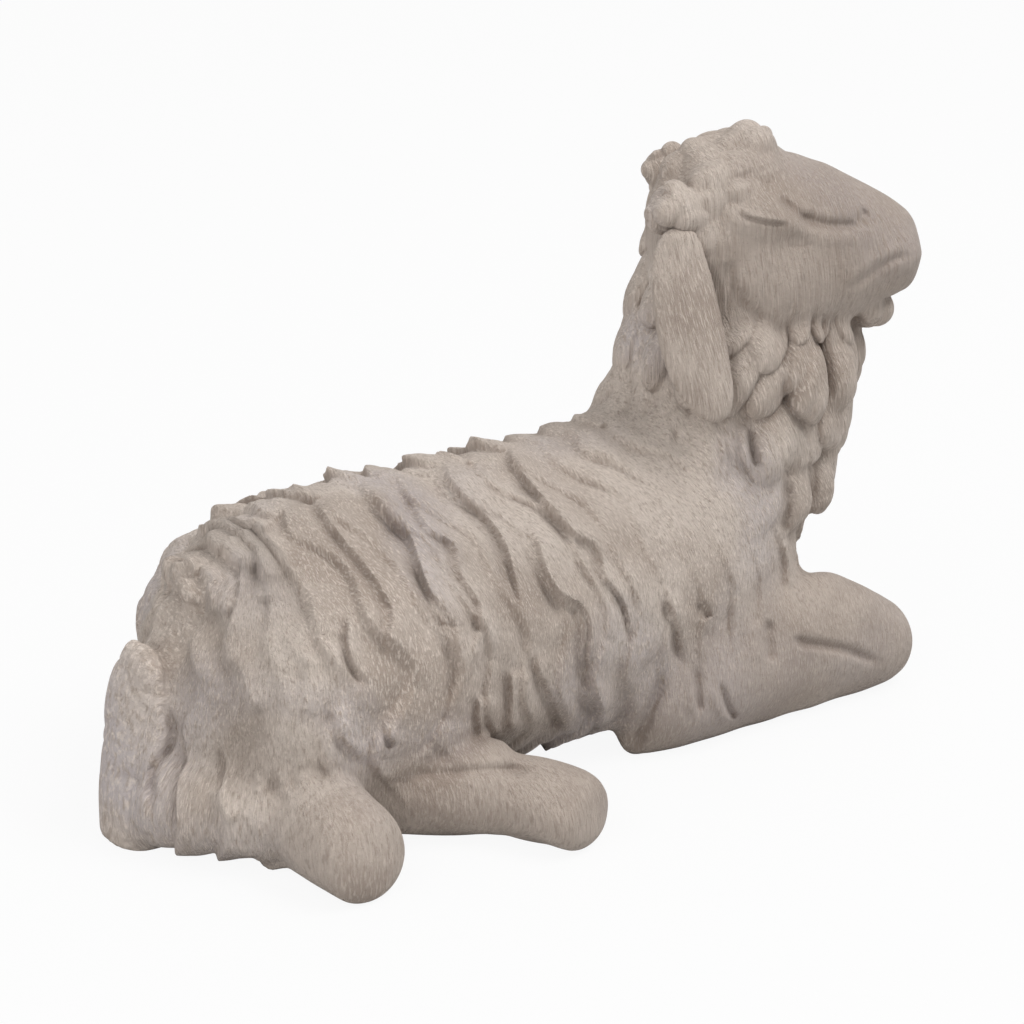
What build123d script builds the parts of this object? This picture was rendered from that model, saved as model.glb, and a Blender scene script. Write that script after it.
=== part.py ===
from build123d import *
from math import cos, pi, radians, sin, tan
import os

# A lying sheep, carved in bare wood from a blank that is glued up from blocks on flat dowelled faces.
# Lengths are in millimetres and angles in degrees.
# The origin is the middle of the trunk's underside, +X runs from the tail to the chest,
# +Y is the sheep's left and +Z is up.

# Trunk
trunk_length = 128.0
trunk_width = 55.0
trunk_height = 53.0

# Wool tufts along the spine, each dipping to the front
tuft_length = 14.0
tuft_width = 24.0
tuft_height = 9.0
tuft_sink = 3.2
tuft_tilt = 14.0

# Haunch, one on each side of the trunk
haunch_length = 42.5
haunch_width = 23.0
haunch_height = 42.0
haunch_inset = 8.0
haunch_setback = 10.5

# Neck, measured from its root inside the chest to the back of the skull
neck_height = 54.0
neck_width = 42.0
neck_depth = 42.0
neck_root_drop = 17.0
neck_setback = 13.0
neck_lean = 7.5
neck_turn = 4.0

# Fleece under the throat
throat_height = 40.0
throat_width = 22.0
throat_depth = 20.0
throat_reach = 11.0

# Locks of wool that hang in tiers round the neck
lock_length = 17.0
lock_width = 9.0
lock_thickness = 7.0
lock_sink = 1.6
lock_tilt = 10.0
tier_reach = 3.0

# Head, turned to the sheep's right
head_length = 48.0
head_width = 29.0
head_height = 37.0
head_turn = 33.0
head_centre_drop = 2.5
head_centre_back = 0.5
head_centre_right = 1.0

# Curls of the crown, round the back of the skull, and the topknot ahead of them
curl_diameter = 10.5
crown_length = 16.0
crown_width = 22.0
crown_height = 22.0
crown_back = 6.5
crown_rise = 1.0
topknot_diameter = 9.0
topknot_length = 11.0
topknot_rise = 15.2
topknot_back = 1.0

# Tuft under the chin
chin_tuft_length = 8.0
chin_tuft_width = 8.0
chin_tuft_height = 9.0
chin_tuft_reach = 20.5
chin_tuft_drop = 14.5

# Ear, hanging beside the cheek
ear_length = 33.0
ear_width = 11.8
ear_thickness = 4.4
ear_root_rise = 4.5
ear_root_back = 14.0
ear_root_out = 15.4
ear_sweep = 6.0
ear_spread = 7.0
ear_tenon_diameter = 6.0
ear_tenon_length = 12.0
ear_tenon_drop = 4.5
ear_gap = 0.4

# Folded foreleg
foreleg_length = 63.0
foreleg_width = 16.5
foreleg_height = 24.0
foreleg_inset = 6.7
foreleg_overhang = 18.5

# Right hind leg, lying across the back of the haunch
right_shank_length = 28.0
right_shank_width = 16.0
right_shank_height = 16.5
right_hock_setback = 1.5
right_hock_offset = 4.0
right_shank_angle = 50.0
right_foot_length = 18.5
right_foot_width = 16.5
right_foot_height = 18.0
right_foot_angle = 82.0

# How far a hind foot's heel reaches back into its shank
foot_heel = 4.0

# Left hind leg, passed under the belly
left_shank_length = 29.0
left_shank_width = 16.0
left_shank_height = 16.5
left_shank_setback = 29.0
left_shank_inset = 10.5
left_shank_angle = 35.0
left_foot_length = 15.5
left_foot_width = 16.0
left_foot_height = 13.5
left_foot_angle = 60.0

# Tail, hanging against the rump
tail_length = 36.0
tail_width = 17.0
tail_thickness = 8.0
tail_left = 1.0

# Glue faces.  Each is a flat through a named point, turned about Z and tilted down by named angles.
# Setbacks are measured from the trunk's rear end for what is behind, and from its front end for what is ahead.
# Insets are measured from the trunk's side, and drops from its top.
tail_face_setback = 2.5
tail_face_height = 18.0
haunch_face_turn = 109.0
haunch_face_setback = 28.0
haunch_face_inset = 10.5
haunch_face_height = 22.0
foreleg_face_turn = 65.0
foreleg_face_tilt = 25.0
foreleg_face_setback = 20.0
foreleg_face_inset = 12.5
foreleg_face_height = 10.0
foreleg_bay_setback = 55.0
foreleg_bay_height = 32.0
neck_face_lean = 19.0
neck_face_setback = 22.0
neck_face_drop = 5.5
head_face_drop = 23.0
foot_face_tilt = 32.0
foot_face_height = 8.5
foot_bay_setback = 27.0
right_foot_face_turn = 82.0
right_foot_face_step = 3.0
left_foot_face_turn = 90.0
left_foot_face_setback = 44.0
left_foot_face_inset = 4.5
left_foot_side_gap = 1.0

# Dowels
large_dowel_diameter = 6.0
large_dowel_length = 20.0
small_dowel_diameter = 4.0
small_dowel_length = 12.0
dowel_end_gap = 0.5
neck_dowel_spacing = 18.0
head_dowel_spacing = 14.0
haunch_dowel_spacing = 22.0
foreleg_dowel_spacing = 16.0

# Sections and cuts
oval_points = 12
quarter_turn = 90.0
ground_sink_share = -0.03
tail_sink_share = 0.03
throat_top_share = 0.25
throat_turn_share = 0.5
throat_slope_share = 0.4
cut_reach = 2 * (trunk_length + head_length)

# Each station of a form: how far along it, then its half width, its underside and its top,
# as shares of the form's length, half width and height.
trunk_shares = (
    (0.00, 0.28, 0.11, 0.50),
    (0.05, 0.54, 0.05, 0.74),
    (0.13, 0.80, -0.01, 0.92),
    (0.27, 0.98, -0.03, 1.00),
    (0.46, 1.00, -0.03, 0.99),
    (0.66, 1.00, -0.03, 1.01),
    (0.81, 0.95, -0.03, 1.03),
    (0.92, 0.80, -0.02, 0.96),
    (1.00, 0.52, 0.06, 0.82),
)
haunch_shares = (
    (0.00, 0.50, 0.25, 0.78),
    (0.20, 0.88, 0.12, 1.00),
    (0.50, 1.00, 0.08, 1.10),
    (0.80, 0.92, 0.08, 1.04),
    (1.00, 0.55, 0.20, 0.88),
)
foreleg_shares = (
    (0.00, 0.60, 0.00, 0.75),
    (0.12, 0.90, -0.03, 0.86),
    (0.30, 1.00, -0.03, 0.98),
    (0.52, 0.98, -0.03, 1.06),
    (0.72, 0.92, -0.03, 1.01),
    (0.90, 0.84, -0.01, 0.74),
    (1.00, 0.50, 0.08, 0.54),
)
# Along, half width and half depth of the upright forms.
neck_shares = (
    (0.00, 1.00, 0.94),
    (0.28, 0.98, 0.90),
    (0.52, 0.90, 0.86),
    (0.76, 0.80, 0.82),
    (1.00, 0.70, 0.70),
)
throat_shares = (
    (0.00, 0.50, 0.50),
    (0.25, 0.90, 0.90),
    (0.60, 1.00, 1.00),
    (0.85, 0.90, 0.95),
    (1.00, 0.55, 0.60),
)
# Along the head from its centre, half width, height of the middle and half height.
head_shares = (
    (-0.40, 0.32, -0.01, 0.24),
    (-0.35, 0.69, -0.02, 0.54),
    (-0.25, 0.92, -0.02, 0.76),
    (-0.12, 0.98, -0.02, 0.87),
    (0.00, 1.00, -0.04, 0.91),
    (0.12, 0.95, -0.09, 0.88),
    (0.22, 0.86, -0.11, 0.85),
    (0.32, 0.75, -0.11, 0.74),
    (0.42, 0.65, -0.10, 0.58),
    (0.52, 0.57, -0.11, 0.43),
    (0.58, 0.44, -0.12, 0.31),
    (0.61, 0.24, -0.13, 0.15),
)
shank_shares = ((0.00, 0.88, 0.90), (0.33, 1.00, 1.00), (0.67, 1.00, 1.00), (1.00, 0.94, 1.00))
foot_shares = ((0.00, 0.88, 0.94), (0.35, 1.00, 1.00), (0.70, 1.00, 0.94), (0.92, 0.88, 0.80), (1.00, 0.62, 0.58))
# Down the ear: half width, half thickness, swing towards the nose and swing outwards.
ear_shares = (
    (0.00, 0.40, 0.60, -0.05, -0.05),
    (0.10, 0.70, 0.90, -0.08, 0.00),
    (0.30, 0.92, 1.00, 0.05, 0.30),
    (0.55, 1.00, 1.00, 0.30, 0.66),
    (0.78, 0.90, 0.90, 0.62, 0.90),
    (0.93, 0.60, 0.70, 0.88, 1.00),
    (1.00, 0.22, 0.40, 1.00, 1.02),
)
# Where each tuft's middle lies along the trunk, and its size.
tuft_shares = (
    (0.10, 0.85),
    (0.17, 1.00),
    (0.25, 0.90),
    (0.33, 1.00),
    (0.40, 0.90),
    (0.48, 1.00),
    (0.56, 0.90),
    (0.63, 0.85),
    (0.70, 0.90),
    (0.77, 0.80),
)
# Each tier's height up the neck, its ring's depth and width as shares of the neck's, the turns in
# degrees from the front to its first and last lock, and how many locks it has.
tier_shares = (
    (0.14, 0.83, 0.90, -95.0, 95.0, 8),
    (0.34, 0.86, 0.90, -115.0, 115.0, 10),
    (0.55, 0.90, 0.88, -165.0, 165.0, 12),
    (0.75, 0.84, 0.80, 150.0, 210.0, 3),
)
# How far back from straight up each curl of the crown sits, and how far to the side, in degrees.
curl_turns = (
    (22.0, 0.0),
    (50.0, 0.0),
    (78.0, 0.0),
    (104.0, 0.0),
    (4.0, 42.0),
    (34.0, 46.0),
    (62.0, 50.0),
    (92.0, 54.0),
)
tail_shares = ((0.00, 0.50, 0.40), (0.30, 0.88, 0.90), (0.65, 1.00, 1.00), (1.00, 0.68, 0.85))


def oval(place, half_width, half_height):
    """A closed oval face whose seam is always on the plane's own +X side."""
    turns = [2 * pi * step / oval_points for step in range(oval_points)]
    points = [(half_width * cos(turn), half_height * sin(turn)) for turn in turns]
    return place * make_face(Spline(*points, periodic=True))


def lying_form(start, angle, length, width, height, shares):
    """A form along a level line: ovals square to the line, each with its own underside and top."""
    ahead = Vector(1, 0, 0).rotate(Axis.Z, angle)
    sideways = Vector(0, 0, 1).cross(ahead)
    ovals = []
    for along, half_width, low, high in shares:
        middle = start + ahead * (length * along) + Vector(0, 0, height * (low + high) / 2)
        place = Plane(origin=middle, x_dir=sideways, z_dir=ahead)
        ovals.append(oval(place, width / 2 * half_width, height * (high - low) / 2))
    return loft(ovals)


def leg_form(start, angle, length, width, height, shares):
    """A shank or foot along the ground: its ovals stand on the ground and sink a little into it."""
    stations = [(along, wide, ground_sink_share, tall) for along, wide, tall in shares]
    return lying_form(start, angle, length, width, height, stations)


def upright_form(start, end, width, depth, shares):
    """A form between two points: ovals square to the line, wide across the sheep and deep along it."""
    line = end - start
    across = Vector(0, 1, 0)
    ovals = []
    for along, half_width, half_depth in shares:
        place = Plane(origin=start + line * along, x_dir=across, z_dir=line)
        ovals.append(oval(place, width / 2 * half_width, depth / 2 * half_depth))
    return loft(ovals)


def lump(place, length, width, height):
    """An egg-shaped lump, its length along the plane's own X and its width along Y."""
    return place * scale(Sphere(1), by=(length / 2, width / 2, height / 2))


def mirrored(shape):
    """The same shape on the other side of the sheep's middle plane."""
    return mirror(shape, about=Plane.XZ)


def from_rear(setback, inset, height):
    """A point on the sheep's right, from the trunk's rear end and from its side."""
    return Vector(-trunk_length / 2 + setback, -trunk_width / 2 + inset, height)


def from_front(setback, inset, height):
    """A point on the sheep's right, from the trunk's front end and from its side."""
    return Vector(trunk_length / 2 - setback, -trunk_width / 2 + inset, height)


def trunk_form():
    start = Vector(-trunk_length / 2, 0, 0)
    return lying_form(start, 0, trunk_length, trunk_width, trunk_height, trunk_shares)


def trunk_top(along):
    """The height of the trunk's top at a share of its length, straight from station to station."""
    for (start, _, _, low), (end, _, _, high) in zip(trunk_shares, trunk_shares[1:]):
        if along <= end:
            return trunk_height * (low + (high - low) * (along - start) / (end - start))
    return trunk_height * high


def spine_tufts():
    """The row of tufts along the spine, each with its rear end up."""
    tufts = []
    for along, size in tuft_shares:
        middle = Vector(trunk_length * (along - 1 / 2), 0, trunk_top(along) - tuft_sink)
        place = Plane(origin=middle, x_dir=facing(0, tuft_tilt), z_dir=facing(0, tuft_tilt - quarter_turn))
        tufts.append(lump(place, tuft_length * size, tuft_width * size, tuft_height * size))
    return tufts


def haunch_form():
    start = from_rear(haunch_setback, haunch_inset, 0)
    return lying_form(start, 0, haunch_length, haunch_width, haunch_height, haunch_shares)


def foreleg_form():
    start = from_front(foreleg_length - foreleg_overhang, foreleg_inset, 0)
    return lying_form(start, 0, foreleg_length, foreleg_width, foreleg_height, foreleg_shares)


def neck_root():
    return Vector(trunk_length / 2 - neck_setback, 0, trunk_height - neck_root_drop)


def neck_top():
    return neck_root() + Vector(neck_lean, -neck_turn, neck_height)


def neck_form():
    return upright_form(neck_root(), neck_top(), neck_width, neck_depth, neck_shares)


def throat_form():
    """The tufts under the chin, in front of the neck and as high as it goes."""
    ahead = facing(head_turn * throat_turn_share, 0) * throat_reach
    top = neck_top() + ahead - Vector(0, 0, neck_height * throat_top_share)
    bottom = top - ahead * throat_slope_share - Vector(0, 0, throat_height)
    return upright_form(bottom, top, throat_width, throat_depth, throat_shares)


def neck_locks():
    """The tiers of locks round the neck, each lock hanging with its lower end out."""
    locks = []
    for height, depth_share, width_share, first, last, count in tier_shares:
        front = facing(head_turn * throat_turn_share, 0)
        middle = neck_root() + (neck_top() - neck_root()) * height + front * tier_reach
        for step in range(count):
            outward = front.rotate(Axis.Z, -(first + (last - first) * step / (count - 1)))
            ahead = outward.X * (neck_depth / 2 * depth_share - lock_sink)
            side = outward.Y * (neck_width / 2 * width_share - lock_sink)
            down = Vector(0, 0, -cos(radians(lock_tilt))) + outward * sin(radians(lock_tilt))
            off_neck = down.cross(outward).cross(down)
            place = Plane(origin=middle + Vector(ahead, side, 0), x_dir=down, z_dir=off_neck)
            locks.append(lump(place, lock_length, lock_width, lock_thickness))
    return locks


def head_place():
    """The head's own plane: origin at its middle, local X to the nose, local Y up, local Z to its right."""
    ahead = facing(head_turn, 0)
    middle = neck_top() - Vector(head_centre_back, head_centre_right, head_centre_drop)
    return Plane(origin=middle, x_dir=ahead, z_dir=ahead.cross(Vector(0, 0, 1)))


def head_form():
    head = head_place()
    ovals = []
    for along, half_width, middle, half_height in head_shares:
        origin = head.origin + head.x_dir * (head_length * along) + Vector(0, 0, head_height * middle)
        place = Plane(origin=origin, x_dir=head.z_dir, z_dir=head.x_dir)
        ovals.append(oval(place, head_width / 2 * half_width, head_height / 2 * half_height))
    return loft(ovals)


def on_head(ahead, out, rise):
    """A lump's place by how far it lies ahead, out to the right and above the head's middle."""
    head = head_place()
    middle = head.origin + head.x_dir * ahead + head.z_dir * out + Vector(0, 0, rise)
    return Plane(origin=middle, x_dir=head.x_dir)


def crown_curls():
    """The curls over the back of the skull: one on the middle line, or one on each side of it."""
    curls = []
    for back, side in curl_turns:
        for turn in {radians(side), -radians(side)}:
            ahead = -crown_back - crown_length / 2 * sin(radians(back)) * cos(turn)
            rise = crown_rise + crown_height / 2 * cos(radians(back)) * cos(turn)
            place = on_head(ahead, crown_width / 2 * sin(turn), rise)
            curls.append(lump(place, curl_diameter, curl_diameter, curl_diameter))
    return curls


def topknot():
    return lump(on_head(-topknot_back, 0, topknot_rise), topknot_length, topknot_diameter, topknot_diameter)


def chin_tuft():
    place = on_head(chin_tuft_reach, 0, -chin_tuft_drop)
    return lump(place, chin_tuft_length, chin_tuft_width, chin_tuft_height)


def right_hock():
    return Vector(-trunk_length / 2 - right_hock_setback, -right_hock_offset, 0)


def right_shank_end():
    return right_hock() + facing(right_shank_angle, 0) * right_shank_length


def right_shank_form():
    """The right hind shank, from the hock behind the rump round to the side."""
    size = (right_shank_length, right_shank_width, right_shank_height)
    return leg_form(right_hock(), -right_shank_angle, *size, shank_shares)


def right_foot_form():
    heel = right_shank_end() - facing(right_foot_angle, 0) * foot_heel
    size = (right_foot_length + foot_heel, right_foot_width, right_foot_height)
    return leg_form(heel, -right_foot_angle, *size, foot_shares)


def left_knee():
    return from_rear(left_shank_setback, left_shank_inset, 0)


def left_shank_end():
    return left_knee() + facing(left_shank_angle, 0) * left_shank_length


def left_shank_form():
    """The left hind shank, which comes out to the right from under the belly."""
    size = (left_shank_length, left_shank_width, left_shank_height)
    return leg_form(left_knee(), -left_shank_angle, *size, shank_shares)


def left_foot_form():
    heel = left_shank_end() - facing(left_foot_angle, 0) * foot_heel
    size = (left_foot_length + foot_heel, left_foot_width, left_foot_height)
    return leg_form(heel, -left_foot_angle, *size, foot_shares)


def tail_form():
    """A flat lobe that hangs from the rump to the ground."""
    bottom = Vector(-trunk_length / 2 - tail_thickness / 2, tail_left, -tail_length * tail_sink_share)
    top = bottom + Vector(tail_thickness / 2, -tail_left, tail_length)
    return upright_form(top, bottom, tail_width, tail_thickness, tail_shares)


def ear_root():
    """The top of the right ear, beside the skull."""
    head = head_place()
    sideways = head.z_dir * ear_root_out - head.x_dir * ear_root_back
    return head.origin + sideways + Vector(0, 0, ear_root_rise)


def ear_form(gap):
    """The right ear, a long leaf that hangs from the side of the skull, larger all round by a gap."""
    head = head_place()
    ovals = []
    for along, half_width, half_thickness, forward, outward in ear_shares:
        middle = ear_root() + head.x_dir * (ear_sweep * forward) + head.z_dir * (ear_spread * outward)
        middle = middle - Vector(0, 0, ear_length * along + gap * (2 * along - 1))
        place = Plane(origin=middle, x_dir=head.x_dir, z_dir=Vector(0, 0, 1))
        ovals.append(oval(place, ear_width / 2 * half_width + gap, ear_thickness / 2 * half_thickness + gap))
    return loft(ovals)


def ear_tenon(end_gap):
    """The round tenon behind the ear's root, pointing into the skull, longer by a gap where it is a bore."""
    head = head_place()
    start = ear_root() - Vector(0, 0, ear_tenon_drop)
    place = Plane(origin=start, x_dir=head.x_dir, z_dir=-head.z_dir)
    length = ear_tenon_length + end_gap
    return place * Cylinder(ear_tenon_diameter / 2, length, align=(Align.CENTER, Align.CENTER, Align.MIN))


def other_side_of_head(shape):
    """The same shape on the other side of the head's own middle plane."""
    return mirror(shape, about=head_place())


def whole_form():
    """Every form of the animal but its ears, as one solid that stands flat on the ground."""
    whole = trunk_form()
    for form in side_forms():
        whole = whole + form
    for form in (*spine_tufts(), *neck_locks(), *crown_curls(), topknot(), chin_tuft()):
        whole = whole + form
    ground = Plane.XY * Box(cut_reach, cut_reach, cut_reach, align=(Align.CENTER, Align.CENTER, Align.MIN))
    return whole & ground


def side_forms():
    """All the forms that grow from the trunk."""
    return (
        haunch_form(),
        mirrored(haunch_form()),
        foreleg_form(),
        mirrored(foreleg_form()),
        neck_form(),
        throat_form(),
        head_form(),
        right_shank_form(),
        right_foot_form(),
        left_shank_form(),
        left_foot_form(),
        tail_form(),
    )


def facing(turn, tilt):
    """A direction turned to the sheep's right of +X and tilted down."""
    return Vector(1, 0, 0).rotate(Axis.Y, tilt).rotate(Axis.Z, -turn)


def glue_face(origin, direction):
    """A glue face's plane: local Z points into the outer block and local X is level."""
    level = Vector(0, 0, 1).cross(direction)
    return Plane(origin=origin, x_dir=level, z_dir=direction)


def tail_face():
    origin = Vector(-trunk_length / 2 + tail_face_setback, tail_left, tail_face_height)
    return glue_face(origin, Vector(-1, 0, 0))


def haunch_face():
    origin = from_rear(haunch_face_setback, haunch_face_inset, haunch_face_height)
    return glue_face(origin, facing(haunch_face_turn, 0))


def foreleg_face():
    origin = from_front(foreleg_face_setback, foreleg_face_inset, foreleg_face_height)
    return glue_face(origin, facing(foreleg_face_turn, foreleg_face_tilt))


def right_foot_face():
    origin = right_shank_end() + facing(right_foot_face_turn, 0) * right_foot_face_step
    origin = origin + Vector(0, 0, foot_face_height)
    return glue_face(origin, facing(right_foot_face_turn, foot_face_tilt))


def left_foot_face():
    origin = from_rear(left_foot_face_setback, left_foot_face_inset, foot_face_height)
    return glue_face(origin, facing(left_foot_face_turn, foot_face_tilt))


def left_foot_side():
    """A plane along the left foot, ahead of it, that keeps the belly beside the foot with the trunk."""
    ahead = facing(left_foot_angle - quarter_turn, 0)
    origin = left_shank_end() + ahead * (left_foot_width / 2 + left_foot_side_gap)
    return glue_face(origin, ahead)


def neck_face():
    origin = Vector(trunk_length / 2 - neck_face_setback, 0, trunk_height - neck_face_drop)
    upwards = Vector(0, 0, 1).rotate(Axis.Y, neck_face_lean)
    return Plane(origin=origin, x_dir=Vector(0, 1, 0), z_dir=upwards)


def head_face():
    origin = neck_top() - (neck_top() - neck_root()) * (head_face_drop / neck_height)
    return Plane(origin=origin, x_dir=Vector(1, 0, 0), z_dir=Vector(0, 0, 1))


def beyond(face):
    """Everything on the outer side of a glue face."""
    return face * Box(cut_reach, cut_reach, cut_reach, align=(Align.CENTER, Align.CENTER, Align.MIN))


def between(back, front):
    """Everything from one place along the sheep to another."""
    slab = Box(front - back, cut_reach, cut_reach, align=(Align.MIN, Align.CENTER, Align.CENTER))
    return Plane(origin=Vector(back, 0, 0)) * slab


def below(height):
    """Everything under one height."""
    slab = Box(cut_reach, cut_reach, cut_reach, align=(Align.CENTER, Align.CENTER, Align.MAX))
    return Pos(0, 0, height) * slab


def tail_bay():
    """The room behind the rump, whose right side starts where the haunch face meets the tail face."""
    across = (haunch_face_setback - tail_face_setback) * tan(radians(haunch_face_turn - quarter_turn))
    corner = from_rear(tail_face_setback, haunch_face_inset + across, 0)
    side = Plane(origin=corner, x_dir=Vector(1, 0, 0), z_dir=Vector(0, 1, 0))
    return beyond(tail_face()) & beyond(side)


def right_foot_bay():
    return beyond(right_foot_face()) & between(-cut_reach, foot_bay_setback - trunk_length / 2)


def left_foot_bay():
    slab = between(foot_bay_setback - trunk_length / 2, trunk_length / 2 - foreleg_bay_setback)
    return (beyond(left_foot_face()) & slab) - beyond(left_foot_side())


def foreleg_bay():
    slab = between(trunk_length / 2 - foreleg_bay_setback, cut_reach)
    return beyond(foreleg_face()) & slab & below(foreleg_bay_height)


def haunch_room():
    """The right haunch block's room, without the blocks that are glued to it later."""
    return beyond(haunch_face()) - tail_bay() - right_foot_bay() - left_foot_bay() - foreleg_bay()


def block_rooms():
    """The room that each block round the trunk fills, cut off by its glue face."""
    return {
        "tail": tail_bay(),
        "right_hind_foot": right_foot_bay(),
        "left_hind_foot": left_foot_bay(),
        "right_foreleg": foreleg_bay() - beyond(neck_face()),
        "left_foreleg": mirrored(foreleg_bay()) - beyond(neck_face()),
        "right_haunch": haunch_room(),
        "left_haunch": mirrored(beyond(haunch_face())) - tail_bay() - mirrored(foreleg_bay()),
        "neck_block": beyond(neck_face()) - beyond(head_face()),
        "head_block": beyond(head_face()),
    }


def dowels(face, spacing, diameter, length):
    """A pair of dowels across a glue face, a spacing apart along it, or one dowel where there is no spacing."""
    if not spacing:
        return face * Cylinder(diameter / 2, length)
    pair = face * Pos(spacing / 2, 0, 0) * Cylinder(diameter / 2, length)
    return pair + face * Pos(-spacing / 2, 0, 0) * Cylinder(diameter / 2, length)


def dowel_sets(end_gap):
    """Every glue face's dowels, longer by a gap at each end where they are bores."""
    large = (large_dowel_diameter, large_dowel_length + 2 * end_gap)
    small = (small_dowel_diameter, small_dowel_length + 2 * end_gap)
    return {
        "neck_dowels": dowels(neck_face(), neck_dowel_spacing, *large),
        "head_dowels": dowels(head_face(), head_dowel_spacing, *large),
        "right_haunch_dowels": dowels(haunch_face(), haunch_dowel_spacing, *small),
        "left_haunch_dowels": mirrored(dowels(haunch_face(), haunch_dowel_spacing, *small)),
        "right_foreleg_dowels": dowels(foreleg_face(), foreleg_dowel_spacing, *small),
        "left_foreleg_dowels": mirrored(dowels(foreleg_face(), foreleg_dowel_spacing, *small)),
        "right_hind_foot_dowel": dowels(right_foot_face(), 0, *small),
        "left_hind_foot_dowel": dowels(left_foot_face(), 0, *small),
        "tail_dowel": dowels(tail_face(), 0, *small),
    }


def carved_blocks():
    """The glued-up blank's blocks, as carved: the whole form divided at the glue faces, with the bores."""
    whole = whole_form()
    rooms = block_rooms()
    blocks = {name: whole & room for name, room in rooms.items()}
    blocks["trunk_block"] = whole - list(rooms.values())
    bores = list(dowel_sets(dowel_end_gap).values())
    ear_room = ear_form(ear_gap) + ear_tenon(dowel_end_gap)
    bores = bores + [ear_room, other_side_of_head(ear_room)]
    return {name: block - bores for name, block in blocks.items()}


def main():
    os.makedirs("parts", exist_ok=True)
    right_ear = ear_form(0) + ear_tenon(0)
    nodes = carved_blocks()
    nodes["right_ear"] = right_ear
    nodes["left_ear"] = other_side_of_head(right_ear)
    nodes.update(dowel_sets(0))
    for name, solids in nodes.items():
        export_step(solids, "parts/" + name + ".step")


if __name__ == "__main__":
    main()
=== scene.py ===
import logging
from collections.abc import Callable
from dataclasses import dataclass, field
from enum import Enum
from functools import cached_property

import bpy
import numpy as np
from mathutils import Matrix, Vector


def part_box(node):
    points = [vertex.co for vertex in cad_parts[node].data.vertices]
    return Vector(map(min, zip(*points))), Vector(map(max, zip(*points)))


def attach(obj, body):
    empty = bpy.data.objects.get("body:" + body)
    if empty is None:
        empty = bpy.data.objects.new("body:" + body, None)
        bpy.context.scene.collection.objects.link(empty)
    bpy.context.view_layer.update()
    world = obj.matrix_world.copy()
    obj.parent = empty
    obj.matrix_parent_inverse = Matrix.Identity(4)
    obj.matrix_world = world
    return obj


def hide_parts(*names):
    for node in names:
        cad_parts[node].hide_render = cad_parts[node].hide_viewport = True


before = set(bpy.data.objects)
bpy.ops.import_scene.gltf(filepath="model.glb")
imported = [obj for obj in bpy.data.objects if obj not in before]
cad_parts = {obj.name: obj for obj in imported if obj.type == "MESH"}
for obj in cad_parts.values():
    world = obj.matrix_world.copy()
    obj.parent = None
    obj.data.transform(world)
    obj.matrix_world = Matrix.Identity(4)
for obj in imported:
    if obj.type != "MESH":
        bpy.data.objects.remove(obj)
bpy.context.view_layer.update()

# A lying sheep, carved in bare wood. Every form is a signed distance in the frame's own axes, carved into a
# closed mesh for each block of the glued-up blank. All lengths are in millimetres until a mesh is made.

log = logging.getLogger("sheep")
Array = np.ndarray
MM = 0.001
UPWARDS = np.array([0.0, 0.0, 1.0])

# Farther than any point lies from the sheep
FAR = 1000.0

# An underside's share of its form's height, a little below the ground so that the ground cuts it flat
GROUND_SHARE = -0.03

# The least share of an oval that its distance is worked out for, which keeps it finite at the middle
LEAST_SHARE = 0.01

# How many places of a lattice have their own random numbers before they repeat
LATTICE = 64
CURL_LATTICE = 16

# Edges turned by more degrees than this are shaded sharp
SHARP_EDGE = 60.0


# Plain helpers

def unit(vector: Array) -> Array:
    """The same direction, one long."""
    return np.asarray(vector, float) / np.linalg.norm(vector)


def facing(turn: float, tilt: float = 0.0) -> Array:
    """A direction turned to the sheep's right of +X and tilted down.

    Args:
        turn: degrees to the right.
        tilt: degrees down.

    Returns:
        The direction, one long.
    """
    a, e = np.radians(turn), np.radians(tilt)
    return np.array([np.cos(a) * np.cos(e), -np.sin(a) * np.cos(e), -np.sin(e)])


def ease(value: Array, start: float, end: float) -> Array:
    """Nothing up to the start, one from the end on, and a smooth step (3t^2 - 2t^3) between."""
    share = np.clip((value - start) / (end - start), 0, 1)
    return share * share * (3 - 2 * share)


def soft_least(a: Array, b: Array, blend: float) -> Array:
    """The lesser of two values, rounded over a blend: min(a, b) - (blend - |a - b|)^2 / (4 blend)."""
    near = np.maximum(blend - np.abs(a - b), 0)
    return np.minimum(a, b) - near * near / (4 * blend)


def soft_most(a: Array, b: Array, blend: float) -> Array:
    """The greater of two values, rounded over a blend."""
    return -soft_least(-a, -b, blend)


def smooth_table(along: Array, values: Array, samples: Array) -> Array:
    """Values between stations on a cubic that never overshoots them.

    The slope at a station is the harmonic mean of the slopes beside it, or zero where they differ in sign.

    Args:
        along: the stations' places, rising.
        values: the stations' values.
        samples: where the values are wanted.

    Returns:
        One value for each sample.
    """
    step = np.diff(along)
    slope = np.diff(values) / step
    product = slope[1:] * slope[:-1]
    total = slope[1:] + slope[:-1]
    inner = np.where(product > 0, 2 * product / np.where(total == 0, 1, total), 0)
    tangent = np.concatenate([slope[:1], inner, slope[-1:]])
    index = np.clip(np.searchsorted(along, samples) - 1, 0, len(step) - 1)
    t = (samples - along[index]) / step[index]
    start, end = values[index], values[index + 1]
    rise, fall = tangent[index] * step[index], tangent[index + 1] * step[index]
    return (start * (1 + 2 * t) * (1 - t) ** 2 + rise * t * (1 - t) ** 2
            + end * t * t * (3 - 2 * t) - fall * t * t * (1 - t))


class Skin(Enum):
    """What the surface of a form is carved as."""

    FLANK = 0
    NECK = 1
    FACE = 2
    LIMB = 3
    CURL = 4


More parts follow.
